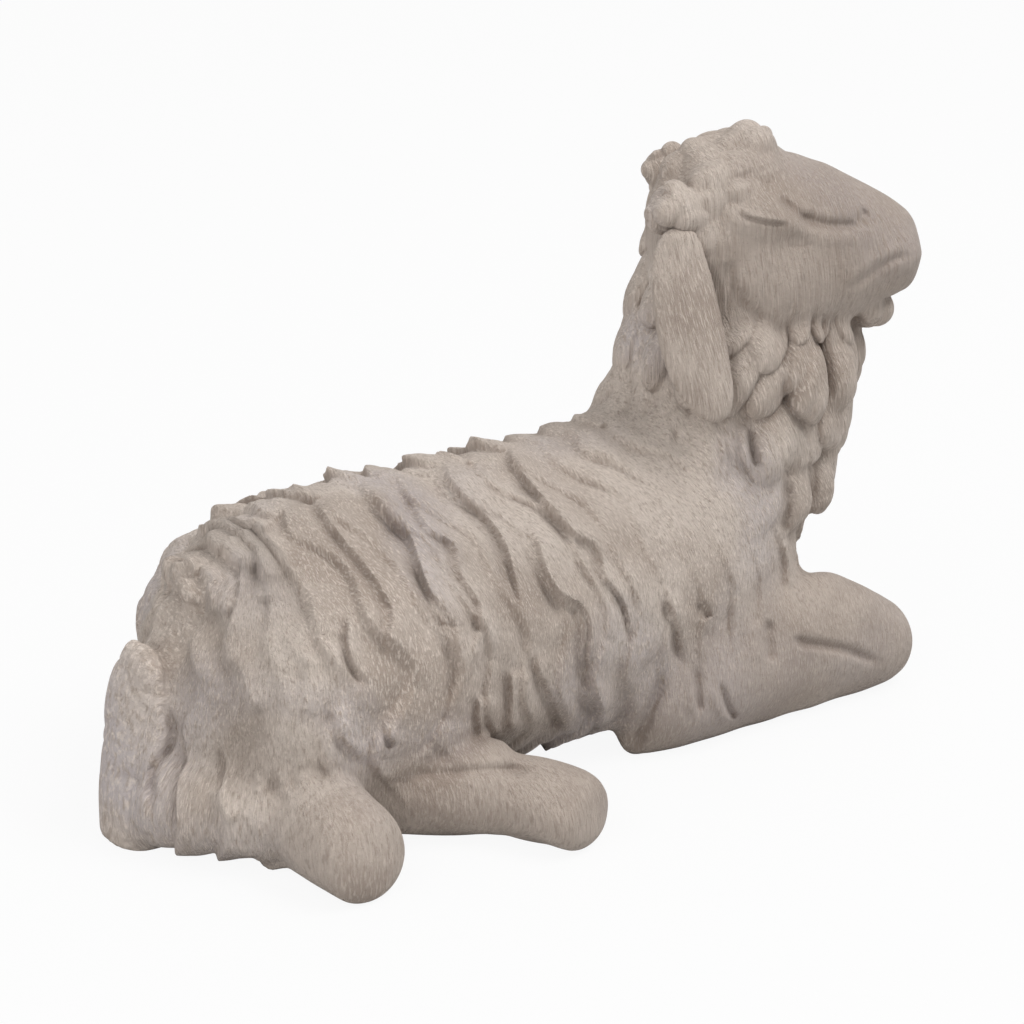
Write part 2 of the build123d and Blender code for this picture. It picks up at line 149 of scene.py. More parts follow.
@dataclass(frozen=True)
class Waves:
    """A smooth random field: a sum of plane waves with seeded directions, about one high."""

    seed: int
    wavelength: float
    count: int = 10

    @cached_property
    def waves(self) -> tuple[Array, Array]:
        """The waves' directions times their frequencies, and their phases."""
        chance = np.random.default_rng(self.seed)
        direction = chance.normal(size=(self.count, 3))
        direction /= np.linalg.norm(direction, axis=1, keepdims=True)
        frequency = 2 * np.pi / (self.wavelength * chance.uniform(0.7, 1.5, (self.count, 1)))
        return direction * frequency, chance.uniform(0, 2 * np.pi, self.count)

    def at(self, points: Array) -> Array:
        """The sum of sin(k . p + phase) over the waves, scaled to about one."""
        directions, phases = self.waves
        total = np.zeros(len(points))
        for direction, phase in zip(directions, phases):
            total += np.sin(points @ direction + phase)
        return total / np.sqrt(self.count)


# Forms

@dataclass(frozen=True)
class Form:
    """A rounded form: ovals square to a straight line, each with its own size and offset from it.

    Stations give the share along the line, then in millimetres the half width, the low and high side, and
    how far the oval is shifted across.
    """

    start: Array
    end: Array
    across: Array
    stations: tuple[tuple[float, ...], ...]
    skin: Skin
    blend: float
    rounding: float
    reach: float = 9.0

    @property
    def length(self) -> float:
        """The line's length."""
        return float(np.linalg.norm(self.end - self.start))

    @property
    def direction(self) -> Array:
        """The line's direction."""
        return unit(self.end - self.start)

    @property
    def up(self) -> Array:
        """The direction of the low and high sides."""
        return unit(np.cross(self.direction, self.across))

    @cached_property
    def table(self) -> tuple[Array, Array]:
        """Fine samples along the line, and the half width, middle, half height and shift at each."""
        along, half_width, low, high, shift = np.array(self.stations, float).T
        samples = np.linspace(0, 1, 129)
        columns = (half_width, (low + high) / 2, (high - low) / 2, shift)
        return samples, np.array([smooth_table(along, column, samples) for column in columns])

    @cached_property
    def room(self) -> tuple[Array, Array]:
        """The lowest and highest corner of the space in which the form matters."""
        samples, (half_width, middle, half_height, shift) = self.table
        line = self.start + np.outer(samples, self.end - self.start)
        line = line + np.outer(shift, self.across) + np.outer(middle, self.up)
        size = np.maximum(half_width, half_height)[:, None] + self.reach
        return (line - size).min(0), (line + size).max(0)

    def distance(self, points: Array) -> Array:
        """How far points lie outside the form.

        Across the line it is the oval's q (q - 1) / |gradient of q|, where q is the share of the oval at
        which the point lies. It is joined to the ends with a rounded edge.

        Args:
            points: one point a row.

        Returns:
            One signed distance a point.
        """
        offset = points - self.start
        along = offset @ self.direction
        samples, columns = self.table
        share = np.clip(along / self.length, 0, 1)
        half_width, middle, half_height, shift = (np.interp(share, samples, column) for column in columns)
        x = (offset @ self.across - shift) / half_width
        y = (offset @ self.up - middle) / half_height
        q = np.maximum(np.sqrt(x * x + y * y), LEAST_SHARE)
        gradient = np.sqrt((x / half_width) ** 2 + (y / half_height) ** 2)
        gradient = np.maximum(gradient, LEAST_SHARE / half_width)
        radial = (q - 1) * q / gradient + self.rounding
        beyond = np.maximum(-along, along - self.length) + self.rounding
        corner = np.hypot(np.maximum(radial, 0), np.maximum(beyond, 0))
        return corner + np.minimum(np.maximum(radial, beyond), 0) - self.rounding


def lying_form(start: Array, turn: float, size: tuple[float, float, float], shares: tuple, skin: Skin,
               blend: float, rounding: float) -> Form:
    """A form along a level line.

    Args:
        start: where the line starts.
        turn: degrees that the line is turned to the sheep's right.
        size: the form's length, width and height.
        shares: each station's share along, half width, underside and top, as shares of the size.
        skin: what the surface is carved as.
        blend: how far the form melts into its neighbours.
        rounding: the radius of its ends' edges.

    Returns:
        The form.
    """
    length, width, height = size
    ahead = facing(turn)
    across = np.cross(UPWARDS, ahead)
    stations = tuple((s[0], width / 2 * s[1], height * s[2], height * s[3], 0.0) for s in shares)
    return Form(np.asarray(start, float), start + ahead * length, across, stations, skin, blend, rounding)


def upright_form(start: Array, end: Array, width: float, depth: float, shares: tuple, skin: Skin,
                 blend: float, rounding: float) -> Form:
    """A form between two points, wide across the sheep and deep along it.

    Args:
        start: its lower end.
        end: its upper end.
        width: its width across the sheep.
        depth: its depth along the sheep.
        shares: each station's share along, half width and half depth.
        skin: what the surface is carved as.
        blend: how far the form melts into its neighbours.
        rounding: the radius of its ends' edges.

    Returns:
        The form.
    """
    stations = tuple((s[0], width / 2 * s[1], -depth / 2 * s[2], depth / 2 * s[2], 0.0) for s in shares)
    return Form(np.asarray(start, float), np.asarray(end, float), np.array([0.0, 1.0, 0.0]), stations,
                skin, blend, rounding)


@dataclass(frozen=True)
class Lump:
    """An egg-shaped lump with its own directions of length and height."""

    middle: Array
    long_way: Array
    high_way: Array
    half_size: tuple[float, float, float]
    skin: Skin
    blend: float = 0.8
    reach: float = 4.0

    @cached_property
    def axes(self) -> Array:
        """The lump's directions of length, width and height, one a row."""
        return np.array([self.long_way, np.cross(self.high_way, self.long_way), self.high_way])

    @cached_property
    def room(self) -> tuple[Array, Array]:
        """The lowest and highest corner of the space in which the lump matters."""
        size = np.sqrt(((self.axes * np.array(self.half_size)[:, None]) ** 2).sum(0)) + self.reach
        return self.middle - size, self.middle + size

    def distance(self, points: Array) -> Array:
        """How far points lie outside the lump: q (q - 1) / |gradient of q|, as for a form's ovals."""
        half = np.array(self.half_size)
        place = (points - self.middle) @ self.axes.T / half
        q = np.maximum(np.sqrt((place * place).sum(1)), LEAST_SHARE)
        gradient = np.maximum(np.sqrt(((place / half) ** 2).sum(1)), LEAST_SHARE / half.max())
        return (q - 1) * q / gradient


@dataclass(frozen=True)
class Flat:
    """A glue face: a flat through a point, facing the outer block."""

    origin: Array
    normal: Array

    def beyond(self, points: Array) -> Array:
        """How far points lie short of the outer side, negative on it."""
        return (self.origin - points) @ self.normal


def other_side(points: Array) -> Array:
    """The points mirrored to the other side of the sheep."""
    return points * np.array([1.0, -1.0, 1.0])


# The photograph's camera

@dataclass(frozen=True)
class Viewpoint:
    """Where the photograph was taken from, and where in it a point shows."""

    place: tuple[float, float, float] = (-317.5, -503.6, 296.8)
    azimuth: float = -33.0
    elevation: float = 23.0
    lens: float = 130.0
    sensor: float = 36.0
    picture: float = 1024.0

    @property
    def back(self) -> Array:
        """The direction from the object to the camera."""
        a, e = np.radians(self.azimuth), np.radians(self.elevation)
        return np.array([np.sin(a) * np.cos(e), -np.cos(a) * np.cos(e), np.sin(e)])

    @property
    def right(self) -> Array:
        """The direction to the picture's right."""
        a = np.radians(self.azimuth)
        return np.array([np.cos(a), np.sin(a), 0.0])

    @property
    def focal(self) -> float:
        """The lens's focal length in pixels."""
        return self.lens / self.sensor * self.picture

    def pixels(self, points: Array) -> Array:
        """Where points show in the picture, one pixel pair a row."""
        offset = points - np.array(self.place)
        depth = -(offset @ self.back)
        right = self.picture / 2 + self.focal * (offset @ self.right) / depth
        down = self.picture / 2 - self.focal * (offset @ np.cross(self.back, self.right)) / depth
        return np.stack([right, down], -1)

    def point(self, pixel: tuple[float, float], origin: Array, normal: Array) -> Array:
        """The point of a flat that shows at a pixel."""
        x = (pixel[0] - self.picture / 2) / self.focal
        y = (self.picture / 2 - pixel[1]) / self.focal
        ray = x * self.right + y * np.cross(self.back, self.right) - self.back
        start = np.array(self.place)
        return start + ray * (((origin - start) @ normal) / (ray @ normal))


VIEW = Viewpoint()

# How many millimetres of the object one pixel of the photograph shows
PIXEL = 0.179

# The share of a mark's length over which it fades in, and out again
FADE = 0.22


# Carving marks

@dataclass(frozen=True)
class Stroke:
    """A carving mark along a line of pixels in the photograph."""

    line: tuple[tuple[float, float], ...]

    @cached_property
    def path(self) -> Array:
        """The line through its points with three more in each span, rounded as a Catmull-Rom curve."""
        points = np.array(self.line, float)
        before = np.concatenate([2 * points[:1] - points[1:2], points, 2 * points[-1:] - points[-2:-1]])
        steps = np.linspace(0, 1, 5)[:-1]
        spans = []
        for index in range(len(points) - 1):
            p0, p1, p2, p3 = before[index:index + 4]
            t = steps[:, None]
            spans.append(p1 + (p2 - p0) * t / 2 + (p0 - 2.5 * p1 + 2 * p2 - p3 / 2) * t ** 2
                         + (1.5 * (p1 - p2) + (p3 - p0) / 2) * t ** 3)
        return np.concatenate(spans + [points[-1:]])

    def near(self, pixels: Array) -> Array:
        """Which pixels the mark can reach."""
        margin = self.span / PIXEL
        low, high = self.path.min(0) - margin, self.path.max(0) + margin
        return np.flatnonzero(((pixels > low) & (pixels < high)).all(1))

    def gap(self, pixels: Array) -> tuple[Array, Array]:
        """How far pixels lie beside the line.

        Args:
            pixels: where the points show, one a row.

        Returns:
            The distance in millimetres, above zero to the right of the line's direction, and how strong
            the mark is there, fading towards the line's ends.
        """
        best = np.full(len(pixels), FAR)
        side = np.zeros(len(pixels))
        place = np.zeros(len(pixels))
        count = len(self.path) - 1
        for index in range(count):
            start, end = self.path[index], self.path[index + 1]
            run = end - start
            offset = pixels - start
            share = np.clip(offset @ run / (run @ run), 0, 1)
            miss = offset - share[:, None] * run
            gap = np.hypot(miss[:, 0], miss[:, 1])
            closer = gap < best
            best = np.where(closer, gap, best)
            turn = run[0] * offset[:, 1] - run[1] * offset[:, 0]
            side = np.where(closer, np.sign(turn), side)
            place = np.where(closer, (index + share) / count, place)
        fade = ease(place, 0.0, FADE) * ease(1 - place, 0.0, FADE)
        return best * PIXEL * side, fade


@dataclass(frozen=True)
class Cut(Stroke):
    """A gouge cut: a groove with a raised lip beside it.

    The lip is to the right of the line's direction where its height is above zero, and to the left below.
    """

    depth: float = 1.0
    width: float = 0.9
    lip: float = 0.0

    @property
    def span(self) -> float:
        """How far from its line the cut reaches."""
        return 5 * self.width

    def relief(self, pixels: Array) -> Array:
        """The cut's height: lip e^-((d - 2w) / 1.4w)^2 - depth e^-(d / w)^2 at a distance d."""
        gap, fade = self.gap(pixels)
        gap = gap * np.sign(self.lip or 1.0)
        groove = self.depth * np.exp(-(gap / self.width) ** 2)
        lip = abs(self.lip) * np.exp(-((gap - 2 * self.width) / (1.4 * self.width)) ** 2)
        return fade * (lip - groove)


@dataclass(frozen=True)
class Crest(Stroke):
    """A ridge of wool that rises slowly on the left of its line and drops steeply on the right."""

    height: float = 1.2
    broad: float = 3.4
    steep: float = 0.9
    foot_groove: float = 0.4

    @property
    def span(self) -> float:
        """How far from its line the crest reaches."""
        return 2.2 * self.broad

    def relief(self, pixels: Array) -> Array:
        """The crest's height: h (e^-(d / w)^2 - g e^-((d - 2s) / s)^2) at a distance d.

        The width w is its own on each side, and the groove, g deep, is at the foot of the steep one, s wide.
        """
        gap, fade = self.gap(pixels)
        width = np.where(gap > 0, self.steep, self.broad)
        groove = self.foot_groove * np.exp(-((gap - 2 * self.steep) / self.steep) ** 2)
        return self.height * fade * (np.exp(-(gap / width) ** 2) - groove)


def stroke_relief(strokes: tuple[Stroke, ...], pixels: Array) -> Array:
    """The heights of all the marks together."""
    total = np.zeros(len(pixels))
    for stroke in strokes:
        near = stroke.near(pixels)
        if len(near):
            total[near] += stroke.relief(pixels[near])
    return total


@dataclass(frozen=True)
class LockCoat:
    """Locks of wool like shingles: leaf-shaped lumps on a jittered lattice, the highest of which shows."""

    seed: int
    across: float
    along: float
    half_width: float
    half_length: float
    height: float
    lean: float = 0.0
    droop: float = 0.0
    bend: float = 0.8
    bow: float = 0.4
    skew: float = 0.5
    unevenness: float = 0.3
    jitter: float = 0.35
    soft: float = 0.25

    @cached_property
    def chances(self) -> Array:
        """Seeded random numbers from -1 to 1, five for each place of a repeating lattice."""
        return np.random.default_rng(self.seed).uniform(-1, 1, (5, LATTICE, LATTICE))

    def lock(self, across: Array, along: Array, column: Array, row: Array) -> Array:
        """One lattice place's lock: size sqrt(1 - a^2 - b^2) (1 + lean a + droop b).

        The shares a and b run across and along the lock. Every second row is shifted by half a lock, and a
        lock's middle line is skewed and bent.

        Args:
            across: the points' places across the locks.
            along: the points' places along the locks.
            column: the lattice column at each point.
            row: the lattice row at each point.

        Returns:
            The lock's height at each point.
        """
        chance = self.chances[:, column % LATTICE, row % LATTICE]
        shift = 0.5 * (row % 2)
        a = across - (column + 0.5 + shift + self.jitter * chance[0]) * self.across
        b = (along - (row + 0.5 + self.jitter * chance[1]) * self.along) / self.half_length
        a = a - self.half_width * (self.skew * chance[2] * b + self.bend * (chance[3] + self.bow) * b * b)
        a = a / self.half_width
        dome = np.sqrt(np.clip(1 - a * a - b * b, 0, 1))
        size = self.height * (1 + self.unevenness * chance[4])
        return size * dome * (1 + self.lean * a + self.droop * b)

    def relief(self, across: Array, along: Array) -> Array:
        """The highest of the locks round each point, a little rounded where two meet."""
        column = np.floor(across / self.across).astype(int)
        row = np.floor(along / self.along).astype(int)
        best = np.zeros(len(across))
        for right in (-2, -1, 0, 1):
            for down in (-1, 0, 1):
                lump = self.lock(across, along, column + right, row + down)
                best = soft_most(best, lump, self.soft)
        return best


@dataclass(frozen=True)
class PleatCoat:
    """Wool in wavy pleats, each steep at its rear edge and cut into locks along its length."""

    seed: int
    spacing: float
    length: float
    height: float
    wave: float
    wavelength: float
    rise: float = 0.16
    slant: float = 4.0
    stagger: float = 3.0
    least_size: float = 0.7
    unevenness: float = 0.6

    @cached_property
    def chances(self) -> Array:
        """Seeded random numbers from 0 to 1, two for each of some repeating pleats."""
        return np.random.default_rng(self.seed).uniform(0, 1, (2, LATTICE))

    def relief(self, across: Array, along: Array) -> Array:
        """The pleats' height: size (1 + sqrt(4 t (1 - t))) / 2 (1 - s), t along a lock and s across it.

        Args:
            across: the points' places across the pleats.
            along: the points' places along the pleats.

        Returns:
            The height at each point.
        """
        place = (across + self.wave * np.sin(2 * np.pi * along / self.wavelength)) / self.spacing
        column = np.floor(place).astype(int)
        share = place - column
        chance = self.chances[:, column % LATTICE]
        step = (along - self.slant * share) / self.length + self.stagger * chance[0]
        down = step - np.floor(step)
        size = self.height * (self.least_size + self.unevenness * chance[1])
        lock = (1 + np.sqrt(4 * down * (1 - down))) / 2
        return size * lock * ease(share, 0.0, self.rise) * (1 - share)


@dataclass(frozen=True)
class CurlCoat:
    """Tight round curls: domes about jittered places of a lattice in space."""

    seed: int
    spacing: float
    height: float
    jitter: float = 0.36

    @cached_property
    def shifts(self) -> Array:
        """Seeded shifts of the places of a repeating lattice, as shares of the spacing."""
        size = (CURL_LATTICE, CURL_LATTICE, CURL_LATTICE, 3)
        return np.random.default_rng(self.seed).uniform(-self.jitter, self.jitter, size)

    def relief(self, points: Array) -> Array:
        """The curls' height: h (1 - (d / spacing)^2), with d the distance to the nearest place."""
        place = points / self.spacing
        home = np.floor(place).astype(int)
        nearest = np.full(len(points), FAR)
        for index in range(27):
            cell = home + np.array([index // 9 - 1, index // 3 % 3 - 1, index % 3 - 1])
            wrapped = cell % CURL_LATTICE
            middle = cell + 0.5 + self.shifts[wrapped[:, 0], wrapped[:, 1], wrapped[:, 2]]
            nearest = np.minimum(nearest, ((place - middle) ** 2).sum(1))
        return self.height * (1 - nearest)


# The sheep's sub-assemblies

@dataclass(frozen=True)
class Trunk:
    """The barrel of the body, with the row of tufts along its spine."""

    length: float = 128.0
    width: float = 55.0
    height: float = 53.0
    axis_height: float = 25.0
    radius: float = 27.0
    slant: float = 9.0
    slant_angles: tuple[float, float] = (0.1, 1.2)
    rump_place: float = -42.0
    rump_radius: float = 22.0
    rump_span: tuple[float, float] = (15.0, 45.0)
    least_side: float = 6.0
    tuft_size: tuple[float, float, float] = (14.0, 24.0, 9.0)
    tuft_sink: float = 3.2
    tuft_tilt: float = 14.0
    shares: tuple = (
        (0.00, 0.28, 0.11, 0.50),
        (0.05, 0.54, 0.05, 0.74),
        (0.13, 0.80, -0.01, 0.92),
        (0.27, 0.98, GROUND_SHARE, 1.00),
        (0.46, 1.00, GROUND_SHARE, 0.99),
        (0.66, 1.00, GROUND_SHARE, 1.01),
        (0.81, 0.95, GROUND_SHARE, 1.03),
        (0.92, 0.80, -0.02, 0.96),
        (1.00, 0.52, 0.06, 0.82),
    )
    tuft_shares: tuple = (
        (0.10, 0.85), (0.17, 1.00), (0.25, 0.90), (0.33, 1.00), (0.40, 0.90),
        (0.48, 1.00), (0.56, 0.90), (0.63, 0.85), (0.70, 0.90), (0.77, 0.80),
    )

    @property
    def rear(self) -> Array:
        """The middle of the rear end, on the ground."""
        return np.array([-self.length / 2, 0.0, 0.0])

    def from_rear(self, setback: float, inset: float, height: float) -> Array:
        """A place a setback ahead of the rear end and an inset in from the right side."""
        return np.array([setback - self.length / 2, inset - self.width / 2, height])

    def from_front(self, setback: float, inset: float, height: float) -> Array:
        """A place a setback behind the front end and an inset in from the right side."""
        return np.array([self.length / 2 - setback, inset - self.width / 2, height])

    def forms(self) -> tuple[Form, ...]:
        """The barrel."""
        size = (self.length, self.width, self.height)
        return (lying_form(self.rear, 0.0, size, self.shares, Skin.FLANK, blend=6.0, rounding=5.0),)

    def tufts(self) -> tuple[Lump, ...]:
        """The tufts along the spine, each with its rear end up."""
        places, _, _, tops = np.array(self.shares).T
        tufts = []
        for share, size in self.tuft_shares:
            top = self.height * np.interp(share, places, tops)
            middle = np.array([self.length * (share - 0.5), 0.0, top - self.tuft_sink])
            half = tuple(size * side / 2 for side in self.tuft_size)
            long_way, high_way = facing(0.0, self.tuft_tilt), facing(0.0, self.tuft_tilt - 90.0)
            tufts.append(Lump(middle, long_way, high_way, half, Skin.FLANK, blend=1.0))
        return tuple(tufts)

    def wool_places(self, points: Array) -> tuple[Array, Array]:
        """Where points lie in the wool: along the sheep behind a slanting line, and down from the spine.

        A ridge runs down from the spine and leans to the head, so its line is x - slant * ease(angle), with
        the angle at the barrel's axis from the spine. Behind the rump's place, x turns into the arc round
        it, and the ridges stand upright.
        """
        behind = np.maximum(self.rump_place - points[:, 0], 0)
        side = np.abs(points[:, 1])
        turn = np.arctan2(behind, np.maximum(side, self.least_side))
        angle = np.arctan2(np.hypot(side, behind), points[:, 2] - self.axis_height)
        rump = ease(-points[:, 0], *self.rump_span)
        along = np.maximum(points[:, 0], self.rump_place) - self.rump_radius * turn
        return along - self.slant * ease(angle, *self.slant_angles) * (1 - rump), angle * self.radius


@dataclass(frozen=True)
class Haunches:
    """The two haunches, the right one bedded on its folded leg."""

    length: float = 42.5
    width: float = 23.0
    height: float = 42.0
    inset: float = 8.0
    setback: float = 10.5
    shares: tuple = (
        (0.00, 0.50, 0.25, 0.78),
        (0.20, 0.88, 0.12, 1.00),
        (0.50, 1.00, 0.08, 1.10),
        (0.80, 0.92, 0.08, 1.04),
        (1.00, 0.55, 0.20, 0.88),
    )

    def forms(self, trunk: Trunk) -> tuple[Form, ...]:
        """The right haunch and its mirror image."""
        size = (self.length, self.width, self.height)
        right = trunk.from_rear(self.setback, self.inset, 0.0)
        return tuple(lying_form(start, 0.0, size, self.shares, Skin.FLANK, blend=3.0, rounding=4.0)
                     for start in (right, other_side(right)))


@dataclass(frozen=True)
class Forelegs:
    """The two folded forelegs, each with its knee ahead."""

    length: float = 63.0
    width: float = 16.5
    height: float = 24.0
    inset: float = 6.7
    overhang: float = 18.5
    shares: tuple = (
        (0.00, 0.60, 0.00, 0.75),
        (0.12, 0.90, GROUND_SHARE, 0.86),
        (0.30, 1.00, GROUND_SHARE, 0.98),
        (0.52, 0.98, GROUND_SHARE, 1.06),
        (0.72, 0.92, GROUND_SHARE, 1.01),
        (0.90, 0.84, -0.01, 0.74),
        (1.00, 0.50, 0.08, 0.54),
    )

    def forms(self, trunk: Trunk) -> tuple[Form, ...]:
        """The right foreleg and its mirror image."""
        size = (self.length, self.width, self.height)
        right = trunk.from_front(self.length - self.overhang, self.inset, 0.0)
        return tuple(lying_form(start, 0.0, size, self.shares, Skin.LIMB, blend=4.0, rounding=3.0)
                     for start in (right, other_side(right)))


@dataclass(frozen=True)
class HindLegs:
    """Both hind shanks and feet, which come out on the right."""

    shank_width: float = 16.0
    shank_height: float = 16.5
    foot_heel: float = 4.0
    right_hock_setback: float = -1.5
    right_hock_offset: float = 4.0
    right_shank_length: float = 28.0
    right_shank_turn: float = 50.0
    right_foot_length: float = 18.5
    right_foot_width: float = 16.5
    right_foot_height: float = 18.0
    right_foot_turn: float = 82.0
    left_shank_setback: float = 29.0
    left_shank_inset: float = 10.5
    left_shank_length: float = 29.0
    left_shank_turn: float = 35.0
    left_foot_length: float = 15.5
    left_foot_width: float = 16.0
    left_foot_height: float = 13.5
    left_foot_turn: float = 60.0
    shank_shares: tuple = (
        (0.00, 0.88, GROUND_SHARE, 0.90),
        (0.33, 1.00, GROUND_SHARE, 1.00),
        (0.67, 1.00, GROUND_SHARE, 1.00),
        (1.00, 0.94, GROUND_SHARE, 1.00),
    )
    foot_shares: tuple = (
        (0.00, 0.88, GROUND_SHARE, 0.94),
        (0.35, 1.00, GROUND_SHARE, 1.00),
        (0.70, 1.00, GROUND_SHARE, 0.94),
        (0.92, 0.88, GROUND_SHARE, 0.80),
        (1.00, 0.62, GROUND_SHARE, 0.58),
    )

    def right_hock(self, trunk: Trunk) -> Array:
        """The right hock, behind the rump."""
        return trunk.rear + np.array([self.right_hock_setback, -self.right_hock_offset, 0.0])

    def right_ankle(self, trunk: Trunk) -> Array:
        """Where the right shank meets its foot."""
        return self.right_hock(trunk) + facing(self.right_shank_turn) * self.right_shank_length

    def left_knee(self, trunk: Trunk) -> Array:
        """Where the left shank leaves the belly."""
        return trunk.from_rear(self.left_shank_setback, self.left_shank_inset, 0.0)

    def left_ankle(self, trunk: Trunk) -> Array:
        """Where the left shank meets its foot."""
        return self.left_knee(trunk) + facing(self.left_shank_turn) * self.left_shank_length

    def foot(self, ankle: Array, turn: float, length: float, width: float, height: float) -> Form:
        """A foot that reaches a heel's length back into its shank."""
        size = (length + self.foot_heel, width, height)
        start = ankle - facing(turn) * self.foot_heel
        return lying_form(start, turn, size, self.foot_shares, Skin.LIMB, blend=2.0, rounding=3.5)

    def forms(self, trunk: Trunk) -> tuple[Form, ...]:
        """Both shanks and both feet."""
        right = (self.right_shank_length, self.shank_width, self.shank_height)
        left = (self.left_shank_length, self.shank_width, self.shank_height)
        return (
            lying_form(self.right_hock(trunk), self.right_shank_turn, right, self.shank_shares,
                       Skin.FLANK, blend=3.0, rounding=6.0),
            lying_form(self.left_knee(trunk), self.left_shank_turn, left, self.shank_shares,
                       Skin.LIMB, blend=2.0, rounding=5.0),
            self.foot(self.right_ankle(trunk), self.right_foot_turn, self.right_foot_length,
                      self.right_foot_width, self.right_foot_height),
            self.foot(self.left_ankle(trunk), self.left_foot_turn, self.left_foot_length,
                      self.left_foot_width, self.left_foot_height),
        )


@dataclass(frozen=True)
class Tail:
    """The flat tail that hangs against the rump."""

    length: float = 36.0
    width: float = 17.0
    thickness: float = 8.0
    left: float = 1.0
    sink: float = 1.1
    shares: tuple = ((0.00, 0.50, 0.40), (0.30, 0.88, 0.90), (0.65, 1.00, 1.00), (1.00, 0.68, 0.85))

    def forms(self, trunk: Trunk) -> tuple[Form, ...]:
        """The tail, from the ground up."""
        bottom = trunk.rear + np.array([-self.thickness / 2, self.left, -self.sink])
        top = bottom + np.array([self.thickness / 2, -self.left, self.length])
        return (upright_form(top, bottom, self.width, self.thickness, self.shares, Skin.FLANK,
                             blend=5.0, rounding=2.0),)


@dataclass(frozen=True)
class Neck:
    """The neck and the wool of the throat, hung with tiers of locks."""

    root: tuple[float, float, float] = (51.0, 0.0, 36.0)
    top: tuple[float, float, float] = (58.5, -4.0, 90.0)
    width: float = 42.0
    depth: float = 42.0
    throat_bottom: tuple[float, float, float] = (64.8, -5.9, 36.5)
    throat_top: tuple[float, float, float] = (69.1, -7.1, 76.5)
    throat_width: float = 22.0
    throat_depth: float = 20.0
    wool_radius: float = 17.0
    wool_shift: tuple[float, float, float] = (6.0, -2.0, 0.0)
    front_turn: float = 16.5
    lock_size: tuple[float, float, float] = (17.0, 9.0, 7.0)
    lock_sink: float = 1.6
    lock_tilt: float = 10.0
    tier_reach: float = 3.0
    shares: tuple = (
        (0.00, 1.00, 0.94), (0.28, 0.98, 0.90), (0.52, 0.90, 0.86), (0.76, 0.80, 0.82), (1.00, 0.70, 0.70),
    )
    throat_shares: tuple = (
        (0.00, 0.50, 0.50), (0.25, 0.90, 0.90), (0.60, 1.00, 1.00), (0.85, 0.90, 0.95), (1.00, 0.55, 0.60),
    )
    tier_shares: tuple = (
        (0.14, 0.83, 0.90, -95.0, 95.0, 8),
        (0.34, 0.86, 0.90, -115.0, 115.0, 10),
        (0.55, 0.90, 0.88, -165.0, 165.0, 12),
        (0.75, 0.84, 0.80, 150.0, 210.0, 3),
    )

    def forms(self) -> tuple[Form, ...]:
        """The neck and the throat."""
        return (
            upright_form(self.root, self.top, self.width, self.depth, self.shares, Skin.NECK,
                         blend=7.0, rounding=6.0),
            upright_form(self.throat_bottom, self.throat_top, self.throat_width, self.throat_depth,
                         self.throat_shares, Skin.NECK, blend=4.0, rounding=4.0),
        )

    def locks(self) -> tuple[Lump, ...]:
        """The tiers of locks, each lock hanging with its lower end out.

        A tier is its height up the neck, its ring's depth and width as shares of the neck's, the turns from
        the front to its first and last lock, and how many locks it has.
        """
        root, top = np.array(self.root), np.array(self.top)
        tilt = np.radians(self.lock_tilt)
        locks = []
        for height, depth_share, width_share, first, last, count in self.tier_shares:
            middle = root + (top - root) * height + facing(self.front_turn) * self.tier_reach
            for turn in np.linspace(first, last, count):
                outward = facing(self.front_turn + turn)
                ring = np.array([self.depth * depth_share, self.width * width_share, 0.0]) / 2
                ring = ring - self.lock_sink
                down = outward * np.sin(tilt) - np.array([0.0, 0.0, np.cos(tilt)])
                off_neck = np.cross(np.cross(down, outward), down)
                half = tuple(side / 2 for side in self.lock_size)
                locks.append(Lump(middle + outward * ring, down, off_neck, half, Skin.NECK, blend=1.6))
        return tuple(locks)

    def wool_places(self, points: Array) -> tuple[Array, Array]:
        """Where points lie in the neck's wool: round the neck from its front, and down from its top."""
        root, top = np.array(self.root), np.array(self.top)
        share = (points[:, 2] - root[2]) / (top[2] - root[2])
        middle = root + share[:, None] * (top - root) + np.array(self.wool_shift)
        offset = points - middle
        around = np.arctan2(offset[:, 1], offset[:, 0]) * self.wool_radius
        return around, top[2] - points[:, 2]


